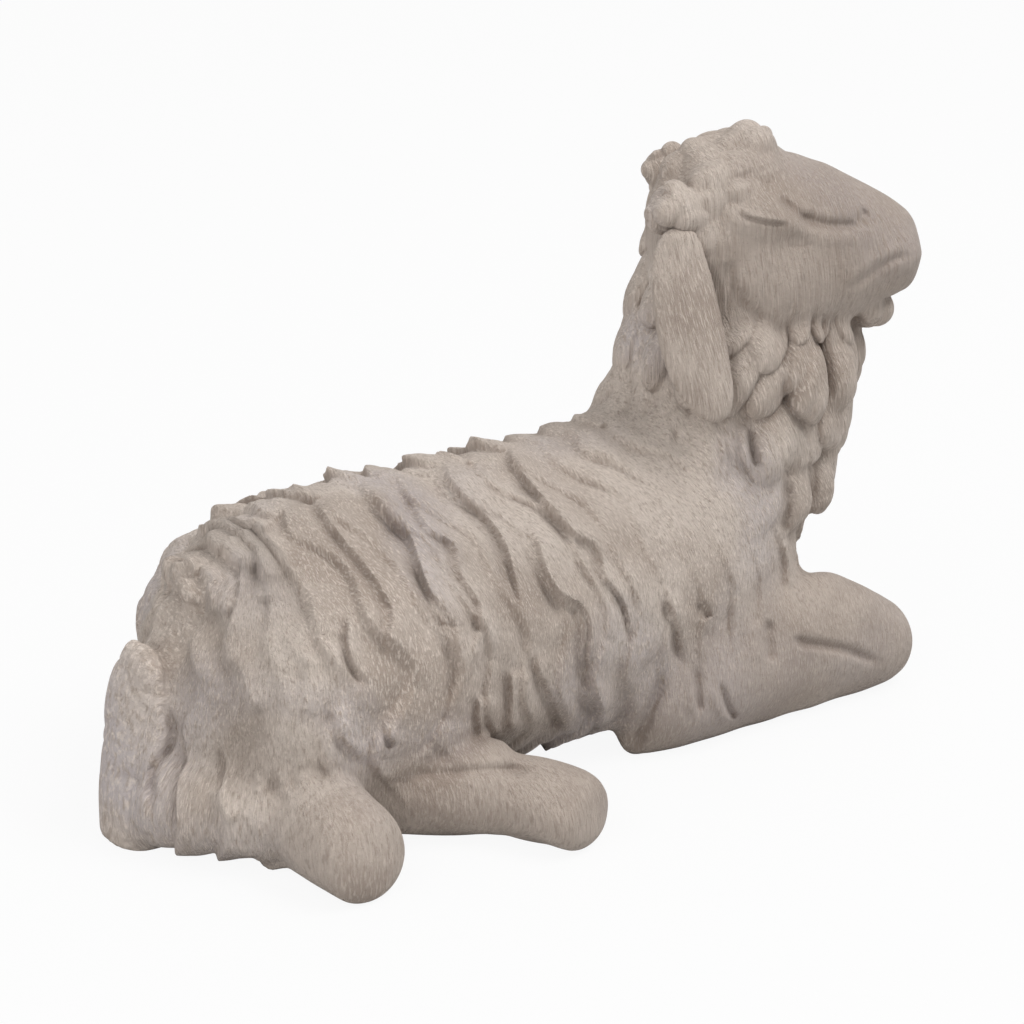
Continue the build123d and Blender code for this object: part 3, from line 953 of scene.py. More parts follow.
@dataclass(frozen=True)
class Head:
    """The turned head, its curls and its face.

    A row of the profile is how far ahead it lies, its half width, and its low and high side. A lump is how
    far ahead, out and up its middle lies, and its half length, width and height.
    """

    centre: tuple[float, float, float] = (58.0, -5.0, 87.5)
    turn: float = 33.0
    profile: tuple = (
        (-19.2, 4.6, -4.8, 4.1),
        (-16.8, 10.0, -10.7, 9.3),
        (-12.0, 13.3, -14.8, 13.3),
        (-5.8, 14.2, -16.8, 15.4),
        (0.0, 14.5, -18.3, 15.4),
        (5.8, 13.8, -19.6, 13.0),
        (10.6, 12.5, -19.8, 11.7),
        (15.4, 10.9, -17.8, 9.6),
        (20.2, 9.4, -14.4, 7.0),
        (25.0, 8.3, -12.0, 3.9),
        (27.8, 6.4, -10.2, 1.3),
        (29.3, 3.5, -7.6, -2.0),
    )
    curl_radius: float = 5.25
    crown_middle: tuple[float, float] = (-6.5, 1.0)
    crown_half_size: tuple[float, float, float] = (8.0, 11.0, 11.0)
    curl_turns: tuple = (
        (22.0, 0.0), (50.0, 0.0), (78.0, 0.0), (104.0, 0.0),
        (4.0, 42.0), (34.0, 46.0), (62.0, 50.0), (92.0, 54.0),
    )
    crown_cap: tuple = (-4.5, 0.0, 5.5, 11.0, 12.0, 11.6)
    topknot: tuple = (-1.0, 0.0, 14.8, 4.6, 4.5, 4.4)
    chin_tuft: tuple = (20.5, 0.0, -14.5, 4.0, 4.0, 4.5)
    ear_curl: tuple = (-14.8, 11.2, 6.6, 4.9, 4.6, 4.9)
    eyelid: tuple = (1.5, 11.0, 5.2, 6.4, 3.4, 3.6)
    cheek: tuple = (2.0, 10.2, -7.5, 10.0, 5.4, 8.5)
    lip: tuple = (23.6, 5.4, -3.5, 4.8, 3.4, 3.8)

    @property
    def ahead(self) -> Array:
        """The direction of the nose."""
        return facing(self.turn)

    @property
    def right(self) -> Array:
        """The direction to the head's own right."""
        return np.cross(self.ahead, UPWARDS)

    def near_side(self, points: Array) -> Array:
        """The points mirrored to the head's right side."""
        out = (points - np.array(self.centre)) @ self.right
        return points + np.outer(np.abs(out) - out, self.right)

    def place(self, ahead: float, out: float, rise: float) -> Array:
        """A place by how far it lies ahead, out to the right and above the head's middle."""
        return np.array(self.centre) + self.ahead * ahead + self.right * out + UPWARDS * rise

    def curls(self) -> tuple[Lump, ...]:
        """The crown's cap and curls, the topknot, the chin's tuft and a curl over each ear."""
        half_length, half_width, half_height = self.crown_half_size
        ahead, out, *rest = self.ear_curl
        lumps = [self.crown_cap, self.topknot, self.chin_tuft, (ahead, out, *rest), (ahead, -out, *rest)]
        for back, side in self.curl_turns:
            for turn in sorted({np.radians(side), -np.radians(side)}):
                ahead = self.crown_middle[0] - half_length * np.sin(np.radians(back)) * np.cos(turn)
                rise = self.crown_middle[1] + half_height * np.cos(np.radians(back)) * np.cos(turn)
                lumps.append((ahead, half_width * np.sin(turn), rise, *(self.curl_radius,) * 3))
        return tuple(Lump(self.place(*lump[:3]), self.ahead, UPWARDS, lump[3:], Skin.CURL, blend=1.4)
                     for lump in lumps)

    def features(self) -> tuple[Lump, ...]:
        """The eyelids, cheeks and lips, on both sides."""
        lumps = [(ahead, side * out, rise, *half)
                 for ahead, out, rise, *half in (self.eyelid, self.cheek, self.lip) for side in (1, -1)]
        return tuple(Lump(self.place(*lump[:3]), self.ahead, UPWARDS, lump[3:], Skin.FACE, blend=2.2)
                     for lump in lumps)

    def forms(self) -> tuple[Form, ...]:
        """The skull and muzzle, as ovals along the head."""
        centre = np.array(self.centre)
        first, last = self.profile[0][0], self.profile[-1][0]
        stations = tuple(((s[0] - first) / (last - first), s[1], s[2], s[3], 0.0) for s in self.profile)
        across = np.cross(UPWARDS, self.ahead)
        return (Form(centre + self.ahead * first, centre + self.ahead * last, across, stations,
                     Skin.FACE, blend=1.6, rounding=3.0),)


@dataclass(frozen=True)
class Ears:
    """The two long ears that hang beside the cheeks."""

    length: float = 33.0
    width: float = 11.8
    thickness: float = 4.4
    rise: float = 4.5
    back: float = 14.0
    out: float = 15.4
    sweep: float = 6.0
    spread: float = 7.0
    shares: tuple = (
        (0.00, 0.40, 0.60, -0.05, -0.05),
        (0.10, 0.70, 0.90, -0.08, 0.00),
        (0.30, 0.92, 1.00, 0.05, 0.30),
        (0.55, 1.00, 1.00, 0.30, 0.66),
        (0.78, 0.90, 0.90, 0.62, 0.90),
        (0.93, 0.60, 0.70, 0.88, 1.00),
        (1.00, 0.22, 0.40, 1.00, 1.02),
    )

    def form(self, head: Head) -> Form:
        """The right ear, from its root down to its tip."""
        root = np.array(head.centre) + head.right * self.out - head.ahead * self.back
        root = root + UPWARDS * self.rise
        half = self.thickness / 2
        stations = tuple((s[0], self.width / 2 * s[1], self.spread * s[4] - half * s[2],
                          self.spread * s[4] + half * s[2], self.sweep * s[3]) for s in self.shares)
        end = root - UPWARDS * self.length
        return Form(root, end, head.ahead, stations, Skin.LIMB, blend=0.0, rounding=1.2)


@dataclass(frozen=True)
class GlueFaces:
    """Where the blank's blocks are glued: the place, turn and tilt of each flat, and the bays' limits.

    Setbacks run forwards from the trunk's rear end, and back from its front end for the foreleg, its bay
    and the neck. Insets run in from the trunk's right side, and heights up from the ground. A negative tilt
    turns a flat to face upwards.
    """

    tail_setback: float = 2.5
    tail_height: float = 18.0
    tail_side: float = -8.2
    haunch_setback: float = 28.0
    haunch_inset: float = 10.5
    haunch_height: float = 22.0
    haunch_turn: float = 109.0
    foreleg_setback: float = 20.0
    foreleg_inset: float = 12.5
    foreleg_height: float = 10.0
    foreleg_turn: float = 65.0
    foreleg_tilt: float = 25.0
    foreleg_bay_setback: float = 55.0
    foreleg_bay_height: float = 32.0
    neck_setback: float = 22.0
    neck_height: float = 47.5
    neck_tilt: float = -71.0
    head_height: float = 67.0
    foot_height: float = 8.5
    foot_tilt: float = 32.0
    foot_bay_setback: float = 27.0
    right_foot_turn: float = 82.0
    right_foot_step: float = 3.0
    left_foot_setback: float = 44.0
    left_foot_inset: float = 4.5
    left_foot_turn: float = 90.0
    left_foot_gap: float = 1.0

    def tail(self, trunk: Trunk, tail: Tail) -> Flat:
        """Between the rump and the tail."""
        place = trunk.rear + np.array([self.tail_setback, tail.left, self.tail_height])
        return Flat(place, facing(180.0))

    def tail_edge(self, trunk: Trunk) -> Flat:
        """The tail's right edge, beside the shank."""
        place = trunk.rear + np.array([self.tail_setback, self.tail_side, 0.0])
        return Flat(place, np.array([0.0, 1.0, 0.0]))

    def haunch(self, trunk: Trunk) -> Flat:
        """Between the trunk and the right haunch."""
        place = trunk.from_rear(self.haunch_setback, self.haunch_inset, self.haunch_height)
        return Flat(place, facing(self.haunch_turn))

    def foreleg(self, trunk: Trunk) -> Flat:
        """Between the trunk and the right foreleg."""
        place = trunk.from_front(self.foreleg_setback, self.foreleg_inset, self.foreleg_height)
        return Flat(place, facing(self.foreleg_turn, self.foreleg_tilt))

    def right_foot(self, trunk: Trunk, legs: HindLegs) -> Flat:
        """Between the right shank and its foot."""
        place = legs.right_ankle(trunk) + facing(self.right_foot_turn) * self.right_foot_step
        return Flat(place + UPWARDS * self.foot_height, facing(self.right_foot_turn, self.foot_tilt))

    def left_foot(self, trunk: Trunk) -> Flat:
        """Between the body and the left shank."""
        place = trunk.from_rear(self.left_foot_setback, self.left_foot_inset, self.foot_height)
        return Flat(place, facing(self.left_foot_turn, self.foot_tilt))

    def left_foot_side(self, trunk: Trunk, legs: HindLegs) -> Flat:
        """Along the left foot, a gap ahead of it, so that the belly beside it stays with the trunk."""
        turn = legs.left_foot_turn - 90.0
        place = legs.left_ankle(trunk) + facing(turn) * (legs.left_foot_width / 2 + self.left_foot_gap)
        return Flat(place, facing(turn))

    def neck(self, trunk: Trunk) -> Flat:
        """Between the trunk and the neck."""
        place = np.array([trunk.length / 2 - self.neck_setback, 0.0, self.neck_height])
        return Flat(place, facing(0.0, self.neck_tilt))

    def head(self) -> Flat:
        """Between the neck and the head."""
        return Flat(UPWARDS * self.head_height, UPWARDS)


@dataclass(frozen=True)
class Knife:
    """The small carving: its heights and depths in millimetres, and where it is calmer or fuller.

    A sink is how much a coat is lowered so that it stands as much below the smooth form as above it, and a
    wander is how far its lines stray. The spans are places along the sheep, or round the neck.
    """

    wool_ripple: float = 0.12
    face_ripple: float = 0.10
    limb_ripple: float = 0.2
    least_weight: float = 0.02
    skin_blend: float = 1.8
    reach: float = 6.0
    curl_sink: float = 2.1
    pleat_wander: float = 1.2
    flank_curl_wander: float = 2.0
    pleat_sink: float = 0.9
    flank_sink: float = 0.2
    shoulder_calm: float = 0.8
    spine_calm: float = 0.4
    spine_width: float = 8.0
    rump_swell: float = 0.35
    rump_span: tuple[float, float] = (25.0, 50.0)
    far_side_shift: float = 401.0
    neck_wander: float = 0.8
    neck_back: tuple[float, float] = (15.0, 24.0)
    strand_sink: float = 0.3
    neck_lock_sink: float = 1.2
    # The limbs' share of the painted shade that darkens the face
    limb_shade_share: float = 0.5


# The wool's locks
FLANK_PLEATS = PleatCoat(seed=11, spacing=7.4, length=15.0, height=1.7, wave=1.3, wavelength=21.0)
FLANK_CURLS = LockCoat(seed=23, across=4.6, along=8.0, half_width=3.0, half_length=5.6, height=0.5,
                       lean=-0.3)
NECK_LOCKS = LockCoat(seed=33, across=6.2, along=10.5, half_width=3.4, half_length=7.4, height=1.9,
                      lean=0.2, droop=0.5, bend=0.3)
NECK_STRANDS = LockCoat(seed=31, across=2.6, along=9.0, half_width=1.7, half_length=7.0, height=0.55)
HEAD_CURLS = CurlCoat(seed=4, spacing=5.4, height=3.0)
CARVED_WAVES = Waves(seed=5, wavelength=7.0)
LIMB_WAVES = Waves(seed=7, wavelength=12.0)
WANDER = Waves(seed=9, wavelength=26.0)


@dataclass
class Sheep:
    """The whole animal: its sub-assemblies, the distance to its carved surface and its blocks."""

    trunk: Trunk = field(default_factory=Trunk)
    haunches: Haunches = field(default_factory=Haunches)
    forelegs: Forelegs = field(default_factory=Forelegs)
    hind_legs: HindLegs = field(default_factory=HindLegs)
    tail: Tail = field(default_factory=Tail)
    neck: Neck = field(default_factory=Neck)
    head: Head = field(default_factory=Head)
    ears: Ears = field(default_factory=Ears)
    glue: GlueFaces = field(default_factory=GlueFaces)
    knife: Knife = field(default_factory=Knife)

    @cached_property
    def forms(self) -> tuple[Form, ...]:
        """Every form but the ears, in the order in which they melt together."""
        return (*self.trunk.forms(), *self.haunches.forms(self.trunk), *self.forelegs.forms(self.trunk),
                *self.hind_legs.forms(self.trunk), *self.tail.forms(self.trunk), *self.neck.forms(),
                *self.head.forms(), *self.head.features(), *self.trunk.tufts(), *self.neck.locks(),
                *self.head.curls())

    def smooth_distance(self, points: Array) -> tuple[Array, Array]:
        """How far points lie outside the smooth animal, and from each kind of skin.

        Args:
            points: one point a row.

        Returns:
            One signed distance a point, and one row of distances for each skin.
        """
        distance = np.full(len(points), FAR)
        skins = np.full((len(Skin), len(points)), FAR)
        for form in self.forms:
            low, high = form.room
            near = np.flatnonzero(((points > low) & (points < high)).all(1))
            if not len(near):
                continue
            own = form.distance(points[near])
            distance[near] = soft_least(distance[near], own, form.blend)
            skins[form.skin.value, near] = np.minimum(skins[form.skin.value, near], own)
        return distance, skins

    def weights(self, skins: Array) -> Array:
        """Each kind of skin's share at points, from their distances to each kind."""
        weights = np.exp(-np.clip(skins - skins.min(0), 0, 20) / self.knife.skin_blend)
        return weights / weights.sum(0)

    def face_and_limb_shade(self, points: Array) -> Array:
        """How much painted shade the wood gets: all of it on the face, and some of it on the limbs."""
        weights = self.weights(self.smooth_distance(points)[1])
        return weights[Skin.FACE.value] + self.knife.limb_shade_share * weights[Skin.LIMB.value]

    def relief(self, points: Array, skins: Array) -> Array:
        """The carved relief's height at points near the surface.

        Args:
            points: one point a row.
            skins: their distances from each kind of skin.

        Returns:
            The heights in millimetres.
        """
        knife = self.knife
        flank, neck, face, limb, curl = self.weights(skins)
        near_side = np.where((points[:, 1] < 0)[:, None], points, other_side(points))
        body_pixels = VIEW.pixels(near_side)
        height = knife.wool_ripple * (flank + neck) * CARVED_WAVES.at(points)
        height = height + knife.face_ripple * face * LIMB_WAVES.at(points)
        for weight, part in ((flank, self.flank_relief), (neck, self.neck_relief)):
            some = np.flatnonzero(weight > knife.least_weight)
            height[some] += weight[some] * part(points[some], body_pixels[some])
        some = np.flatnonzero(curl > knife.least_weight)
        height[some] += curl[some] * (HEAD_CURLS.relief(points[some]) - knife.curl_sink)
        some = np.flatnonzero(face > knife.least_weight)
        face_pixels = VIEW.pixels(self.head.near_side(points[some]))
        height[some] += face[some] * stroke_relief(FACE_STROKES, face_pixels)
        some = np.flatnonzero(limb > knife.least_weight)
        ripple = knife.limb_ripple * LIMB_WAVES.at(points[some])
        height[some] += limb[some] * (ripple + stroke_relief(LEG_STROKES, body_pixels[some]))
        return height

    def flank_relief(self, points: Array, pixels: Array) -> Array:
        """The wool of the body: pleats and small locks, with the photograph's ridges and cuts over them.

        The pleats are calmer on the shoulder and along the spine and fuller on the rump, and the far side
        has its own.
        """
        knife = self.knife
        along, around = self.trunk.wool_places(points)
        shoulder = np.exp(-(((pixels - SHOULDER) / SHOULDER_SIZE) ** 2).sum(1) ** 1.5)
        smoother = 1 - knife.shoulder_calm * shoulder
        side = np.where(points[:, 1] < 0, 0.0, knife.far_side_shift)
        wander = WANDER.at(points)
        wool = FLANK_PLEATS.relief(along + knife.pleat_wander * wander + side, around)
        wool = wool + FLANK_CURLS.relief(along + side, around + knife.flank_curl_wander * wander)
        wool = wool - knife.pleat_sink
        spine = np.exp(-(around / knife.spine_width) ** 2)
        fuller = 1 + knife.rump_swell * ease(-points[:, 0], *knife.rump_span) - knife.spine_calm * spine
        wool = wool * smoother * fuller
        return wool + stroke_relief(BODY_STROKES, pixels) - knife.flank_sink

    def neck_relief(self, points: Array, pixels: Array) -> Array:
        """The strands of the throat's locks, and the locks of the neck's sides and back."""
        knife = self.knife
        turn, down = self.neck.wool_places(points)
        turn = turn + knife.neck_wander * WANDER.at(points)
        behind = ease(np.abs(turn), *knife.neck_back)
        strands = NECK_STRANDS.relief(turn, down) - knife.strand_sink
        locks = NECK_LOCKS.relief(turn, down) - knife.neck_lock_sink
        return strands + behind * locks + stroke_relief(NECK_STROKES, pixels)

    def distance(self, points: Array) -> Array:
        """How far points lie outside the carved animal, cut flat on the ground."""
        smooth, skins = self.smooth_distance(points)
        near = np.flatnonzero(np.abs(smooth) < self.knife.reach)
        carved = smooth.copy()
        if len(near):
            carved[near] -= self.relief(points[near], skins[:, near])
        return np.maximum(carved, -points[:, 2])

    def painted_hollow_shade(self, points: Array, normals: Array) -> Array:
        """Painted shade for recesses: how sunk the surface is at points on it, from how near it still is at
        two heights above them.

        At a height h over a flat the distance is h, and over a recess it is less, so each height adds a
        share of 1 - distance / h.
        """
        total = np.zeros(len(points))
        for height, share in ((0.8, 0.6), (3.0, 0.9)):
            total += share * np.maximum(1 - self.distance(points + height * normals) / height, 0)
        return np.clip(total, 0, 1)

    def rooms(self) -> dict[str, Callable[[Array], Array]]:
        """Each block's room, negative inside, cut off by its glue face."""
        glue, trunk, legs = self.glue, self.trunk, self.hind_legs
        tail, tail_edge = glue.tail(trunk, self.tail), glue.tail_edge(trunk)
        haunch, foreleg = glue.haunch(trunk), glue.foreleg(trunk)
        right_foot, left_foot = glue.right_foot(trunk, legs), glue.left_foot(trunk)
        left_side = glue.left_foot_side(trunk, legs)
        neck, head = glue.neck(trunk), glue.head()
        foot_bay = glue.foot_bay_setback - trunk.length / 2
        foreleg_bay = trunk.length / 2 - glue.foreleg_bay_setback

        def all_of(*values: Array) -> Array:
            """Inside every one of some rooms."""
            return np.maximum.reduce(values)

        def tail_room(p: Array) -> Array:
            """The tail's, behind the rump and left of the shank."""
            return all_of(tail.beyond(p), tail_edge.beyond(p))

        def right_foot_room(p: Array) -> Array:
            """The right foot's, behind the bay between the feet."""
            return all_of(right_foot.beyond(p), p[:, 0] - foot_bay)

        def left_foot_room(p: Array) -> Array:
            """The left foot's, between the feet's bay and the foreleg's, less the belly beside it."""
            return all_of(left_foot.beyond(p), foot_bay - p[:, 0], p[:, 0] - foreleg_bay,
                          -left_side.beyond(p))

        def foreleg_room(p: Array) -> Array:
            """The right foreleg's, under the shoulder and ahead of its bay."""
            return all_of(foreleg.beyond(p), foreleg_bay - p[:, 0], p[:, 2] - glue.foreleg_bay_height,
                          -neck.beyond(p))

        def right_haunch_room(p: Array) -> Array:
            """The right haunch's, less the blocks glued to it."""
            return all_of(haunch.beyond(p), -tail_room(p), -right_foot_room(p), -left_foot_room(p),
                          -foreleg_room(p))

        def left_haunch_room(p: Array) -> Array:
            """The left haunch's, less the tail and foreleg."""
            return all_of(haunch.beyond(other_side(p)), -tail_room(p), -foreleg_room(other_side(p)))

        outer = {
            "tail": tail_room,
            "right_hind_foot": right_foot_room,
            "left_hind_foot": left_foot_room,
            "right_foreleg": foreleg_room,
            "left_foreleg": lambda p: foreleg_room(other_side(p)),
            "right_haunch": right_haunch_room,
            "left_haunch": left_haunch_room,
            "neck_block": lambda p: all_of(neck.beyond(p), -head.beyond(p)),
            "head_block": head.beyond,
        }
        return {"trunk_block": lambda p: all_of(*(-room(p) for room in outer.values())), **outer}


# The photograph's marks, as lines of pixels read one by one. A crest's numbers are its height and its broad
# and steep side's widths, and a cut's are its depth, width and lip.

SHOULDER = np.array([695.0, 510.0])
SHOULDER_SIZE = np.array([62.0, 95.0])
FOREARM_CUTS = (
    Cut(((768, 618), (770, 664)), 1.1, 1.0, 0.5),
    Cut(((797, 634), (802, 642), (820, 645), (851, 651), (887, 666)), 1.2, 0.9, 0.0),
)
BODY_STROKES = (
    Crest(((206, 504), (201, 523), (194, 540)), 1.0, 2.4, 0.9),
    Crest(((251, 492), (258, 516), (265, 533)), 0.9, 2.4, 0.9),
    Crest(((309, 483), (318, 499), (333, 523), (361, 557), (382, 585), (395, 612), (392, 643), (395, 664))),
    Crest(((361, 468), (375, 492), (392, 516), (413, 537), (423, 568), (437, 602), (454, 633), (456, 668),
           (449, 705)), 1.6),
    Crest(((395, 463), (413, 499), (430, 526), (456, 544), (464, 575), (482, 602), (483, 626), (478, 650),
           (485, 683))),
    Crest(((444, 448), (451, 475), (471, 499), (495, 523), (509, 547), (516, 578), (523, 609)), 1.3),
    Crest(((492, 437), (509, 451), (523, 471), (544, 495), (561, 516), (580, 533), (600, 544), (609, 578),
           (628, 606), (633, 640)), 1.3),
    Crest(((519, 499), (537, 533), (547, 564), (559, 592), (580, 606), (589, 626), (588, 664), (594, 687)),
          1.5),
    Crest(((538, 650), (542, 671), (554, 695), (565, 723), (562, 736)), 1.3),
    Crest(((578, 688), (599, 705), (604, 733)), 1.2),
    Crest(((513, 668), (515, 699), (512, 740)), 1.3),
    Crest(((482, 692), (482, 723), (487, 743)), 1.2),
    Crest(((203, 564), (210, 592), (215, 623)), 1.2, 2.6, 0.9),
    Crest(((268, 563), (262, 585), (263, 604)), 1.2, 2.4, 0.9),
    Crest(((234, 571), (225, 602), (223, 637)), 1.1, 2.4, 0.9),
    Crest(((184, 616), (191, 650), (206, 695)), 1.1, 2.6, 0.9),
    Crest(((223, 652), (239, 668), (249, 692), (258, 716)), 1.2, 2.6, 0.9),
    Crest(((306, 650), (308, 681), (303, 723)), 1.0, 2.6, 0.9),
    Crest(((333, 702), (344, 733), (370, 764)), 1.1, 2.4, 0.9),
    Crest(((213, 788), (222, 806), (234, 826)), 1.0, 2.2, 0.8),
    Crest(((253, 770), (259, 782), (253, 794)), 0.9, 1.8, 0.6),
    Crest(((275, 772), (282, 784), (276, 797)), 0.9, 1.8, 0.6),
    Crest(((296, 774), (304, 786), (298, 799)), 0.9, 1.8, 0.6),
    Cut(((417, 550), (421, 582), (448, 620), (454, 641), (454, 668), (448, 695), (444, 713), (425, 745),
         (400, 768)), 1.0, 0.7, 0.0),
    Cut(((346, 612), (343, 637), (348, 664), (365, 689)), 1.2, 0.7, -0.7),
    Cut(((377, 723), (392, 750)), 1.0, 0.7, -0.5),
    Cut(((154, 692), (173, 723), (172, 743), (154, 769), (151, 800), (154, 829)), 0.8, 0.8, 0.4),
    Cut(((536, 558), (556, 592), (580, 608), (588, 629), (586, 661), (591, 683)), 1.0, 0.5, 0.0),
    Cut(((506, 555), (513, 585), (520, 609)), 0.8, 0.5, 0.0),
    Cut(((604, 578), (622, 606), (629, 644)), 0.9, 0.5, 0.0),
    Cut(((657, 594), (672, 622), (676, 648), (684, 669)), 1.4, 0.9, -0.5),
    Cut(((700, 602), (708, 621)), 1.4, 1.0, 0.4),
    Cut(((742, 632), (741, 659)), 0.9, 0.8, 0.5),
    *FOREARM_CUTS,
    Cut(((810, 588), (825, 592), (829, 608)), 1.0, 0.7, 0.5),
)
LEG_STROKES = (
    Cut(((668, 655), (657, 690), (646, 722), (634, 757)), 2.4, 1.3, 0.0),
    Cut(((695, 664), (698, 690), (700, 715)), 1.1, 0.7, 0.6),
    Cut(((719, 680), (727, 705), (737, 720)), 1.0, 0.7, 0.6),
    *FOREARM_CUTS,
    Cut(((403, 775), (440, 774), (500, 770), (548, 774)), 1.0, 1.0, 0.0),
)
NECK_STROKES = (
    Cut(((675, 424), (678, 448)), 1.0, 0.7, 0.5),
    Cut(((717, 430), (720, 455), (724, 472)), 1.0, 0.6, 0.5),
    Cut(((750, 424), (752, 448), (760, 470)), 1.2, 0.7, 0.5),
    Cut(((786, 478), (788, 505), (780, 535)), 1.4, 0.9, 0.5),
    Cut(((738, 520), (744, 530), (741, 542)), 1.3, 0.9, 0.0),
)
FACE_STROKES = (
    Cut(((735, 209), (748, 218), (769, 223), (792, 225)), 0.55, 0.4, -0.5),
    Cut(((696, 200), (708, 187), (724, 180), (742, 177), (760, 172)), 1.2, 0.9, 0.3),
    Cut(((778, 192), (788, 207), (808, 220), (839, 226), (884, 222)), 1.3, 1.1, 0.4),
    Cut(((786, 246), (800, 247), (817, 243)), 0.25, 0.4, 0.0),
    Cut(((856, 222), (868, 210)), 0.7, 1.1, 0.0),
    Cut(((914, 254), (892, 260), (868, 276), (848, 292)), 0.5, 0.8, 0.2),
    Cut(((728, 258), (731, 280), (745, 306), (768, 322)), 1.2, 1.2, 0.0),
)


# Carving distances into meshes

@dataclass(frozen=True)
class Carver:
    """Turns a signed distance into a closed mesh of quads whose edges stay crisp, by dual contouring.

    One vertex is put in each cell that the surface crosses, where the flats at the crossings of its edges
    meet (the least squares of their distances), and one quad round each crossed edge. The distance is worked
    out roughly for blocks of cells and then finely in a band round the surface, which the slack and margin
    widen. The probe is the share of a cell over which directions are measured, and the hold keeps a vertex
    near the middle of its crossings.
    """

    cell: float
    block: int = 4
    margin: float = 1.0
    slack: float = 1.2
    probe: float = 0.3
    hold: float = 0.05

    def sample(self, distance: Callable[[Array], Array], low: Array, counts: Array) -> Array:
        """The distance at the grid's corners, exact only near the surface.

        Args:
            distance: the signed distance.
            low: the grid's lowest corner.
            counts: how many cells there are each way, a multiple of the block.

        Returns:
            One value for each corner.
        """
        blocks = counts // self.block
        index = np.stack(np.meshgrid(*(np.arange(n) for n in blocks), indexing="ij"), -1).reshape(-1, 3)
        rough = distance(low + (index + 0.5) * self.block * self.cell).reshape(blocks)
        reach = self.block * self.cell * np.sqrt(3) / 2 * self.slack + self.margin
        for axis in range(3):
            rough = np.repeat(rough, self.block, axis)
        rough = np.pad(rough, ((0, 1),) * 3, mode="edge")
        near = np.abs(rough) < reach
        for axis in range(3):
            near = near | np.roll(near, 1, axis)
        corners = np.argwhere(near)
        values = rough.copy()
        values[near] = distance(low + corners * self.cell)
        return values

    def carve(self, distance: Callable[[Array], Array], low: Array, high: Array) -> tuple[Array, Array]:
        """The surface where the distance is zero.

        Args:
            distance: the signed distance.
            low: the lowest corner of the space that holds the surface.
            high: its highest corner.

        Returns:
            The vertices, and the quads' vertex numbers.
        """
        counts = (np.ceil((high - low) / self.cell / self.block).astype(int)) * self.block
        values = self.sample(distance, low, counts)
        points, normals, cells = [], [], []
        for axis in range(3):
            ends = [slice(None)] * 3
            ends[axis] = slice(1, None)
            starts = [slice(None)] * 3
            starts[axis] = slice(None, -1)
            first, last = values[tuple(starts)], values[tuple(ends)]
            inside = first < 0

            # Where the surface crosses the grid's edges along this axis, by two steps of false position
            index = np.argwhere(inside != (last < 0))
            start, end = first[tuple(index.T)], last[tuple(index.T)]
            step = np.eye(3)[axis] * self.cell
            corner = low + index * self.cell
            share = start / (start - end)
            middle = distance(corner + share[:, None] * step)
            early = (middle < 0) != (start < 0)
            tail_share = share + (1 - share) * middle / np.where(middle == end, 1, middle - end)
            head_share = share * start / np.where(middle == start, 1, start - middle)
            share = np.clip(np.where(early, head_share, tail_share), 0, 1)
            point = corner + share[:, None] * step

            # The four cells round each crossed edge, in an order that faces the quad outwards
            b, c = np.eye(3, dtype=int)[(axis + 1) % 3], np.eye(3, dtype=int)[(axis + 2) % 3]
            ring = np.stack([index, index - b, index - b - c, index - c], 1)
            keep = ((ring >= 0) & (ring < counts)).all((1, 2))
            ring, point = ring[keep], point[keep]
            ring = np.where(inside[tuple(index[keep].T)][:, None, None], ring, ring[:, ::-1])
            points.append(point)
            normals.append(self.normals(distance, point))
            cells.append((ring * np.array([counts[1] * counts[2], counts[2], 1])).sum(-1))
        cells = np.concatenate(cells)
        numbers, quads = np.unique(cells.ravel(), return_inverse=True)
        quads = quads.reshape(-1, 4)
        vertices = self.place(quads, len(numbers), np.concatenate(points), np.concatenate(normals))
        place = np.stack(np.unravel_index(numbers, counts), -1)
        corner = low + place * self.cell
        return np.clip(vertices, corner, corner + self.cell), quads

    def normals(self, distance: Callable[[Array], Array], points: Array) -> Array:
        """The surface's directions, from the distance at a small tetrahedron's corners."""
        corners = np.array([[1, -1, -1], [-1, -1, 1], [-1, 1, -1], [1, 1, 1]], float)
        slope = np.zeros_like(points)
        for corner in corners:
            slope += distance(points + corner * self.cell * self.probe)[:, None] * corner
        return slope / np.maximum(np.linalg.norm(slope, axis=1, keepdims=True), 1e-9)

    def place(self, quads: Array, count: int, points: Array, normals: Array) -> Array:
        """Each cell's vertex: the point nearest to the flats at the cell's crossings.

        Args:
            quads: the four cells round each crossing.
            count: how many cells there are.
            points: the crossings.
            normals: the surface's direction at each.

        Returns:
            One point for each cell.
        """
        owner = quads.ravel()
        points, normals = np.repeat(points, 4, 0), np.repeat(normals, 4, 0)
        size = np.bincount(owner, minlength=count).astype(float)
        mean = np.stack([np.bincount(owner, points[:, i], count) for i in range(3)], -1) / size[:, None]
        miss = (normals * (points - mean[owner])).sum(1)
        square = np.empty((count, 3, 3))
        side = np.empty((count, 3))
        for i in range(3):
            side[:, i] = np.bincount(owner, normals[:, i] * miss, count)
            for j in range(3):
                square[:, i, j] = np.bincount(owner, normals[:, i] * normals[:, j], count)
        square += np.eye(3) * (self.hold * size)[:, None, None]
        return mean + np.linalg.solve(square, side[..., None])[..., 0]


def make_piece(name: str, vertices: Array, quads: Array) -> bpy.types.Object:
    """A mesh object in the scene, in metres.

    Args:
        name: the object's name.
        vertices: in millimetres.
        quads: four vertex numbers a face.

    Returns:
        The object.
    """
    mesh = bpy.data.meshes.new(name)
    mesh.from_pydata(vertices * MM, [], quads)
    mesh.shade_smooth()
    mesh.set_sharp_from_angle(angle=np.radians(SHARP_EDGE))
    piece = bpy.data.objects.new(name, mesh)
    bpy.context.scene.collection.objects.link(piece)
    return piece


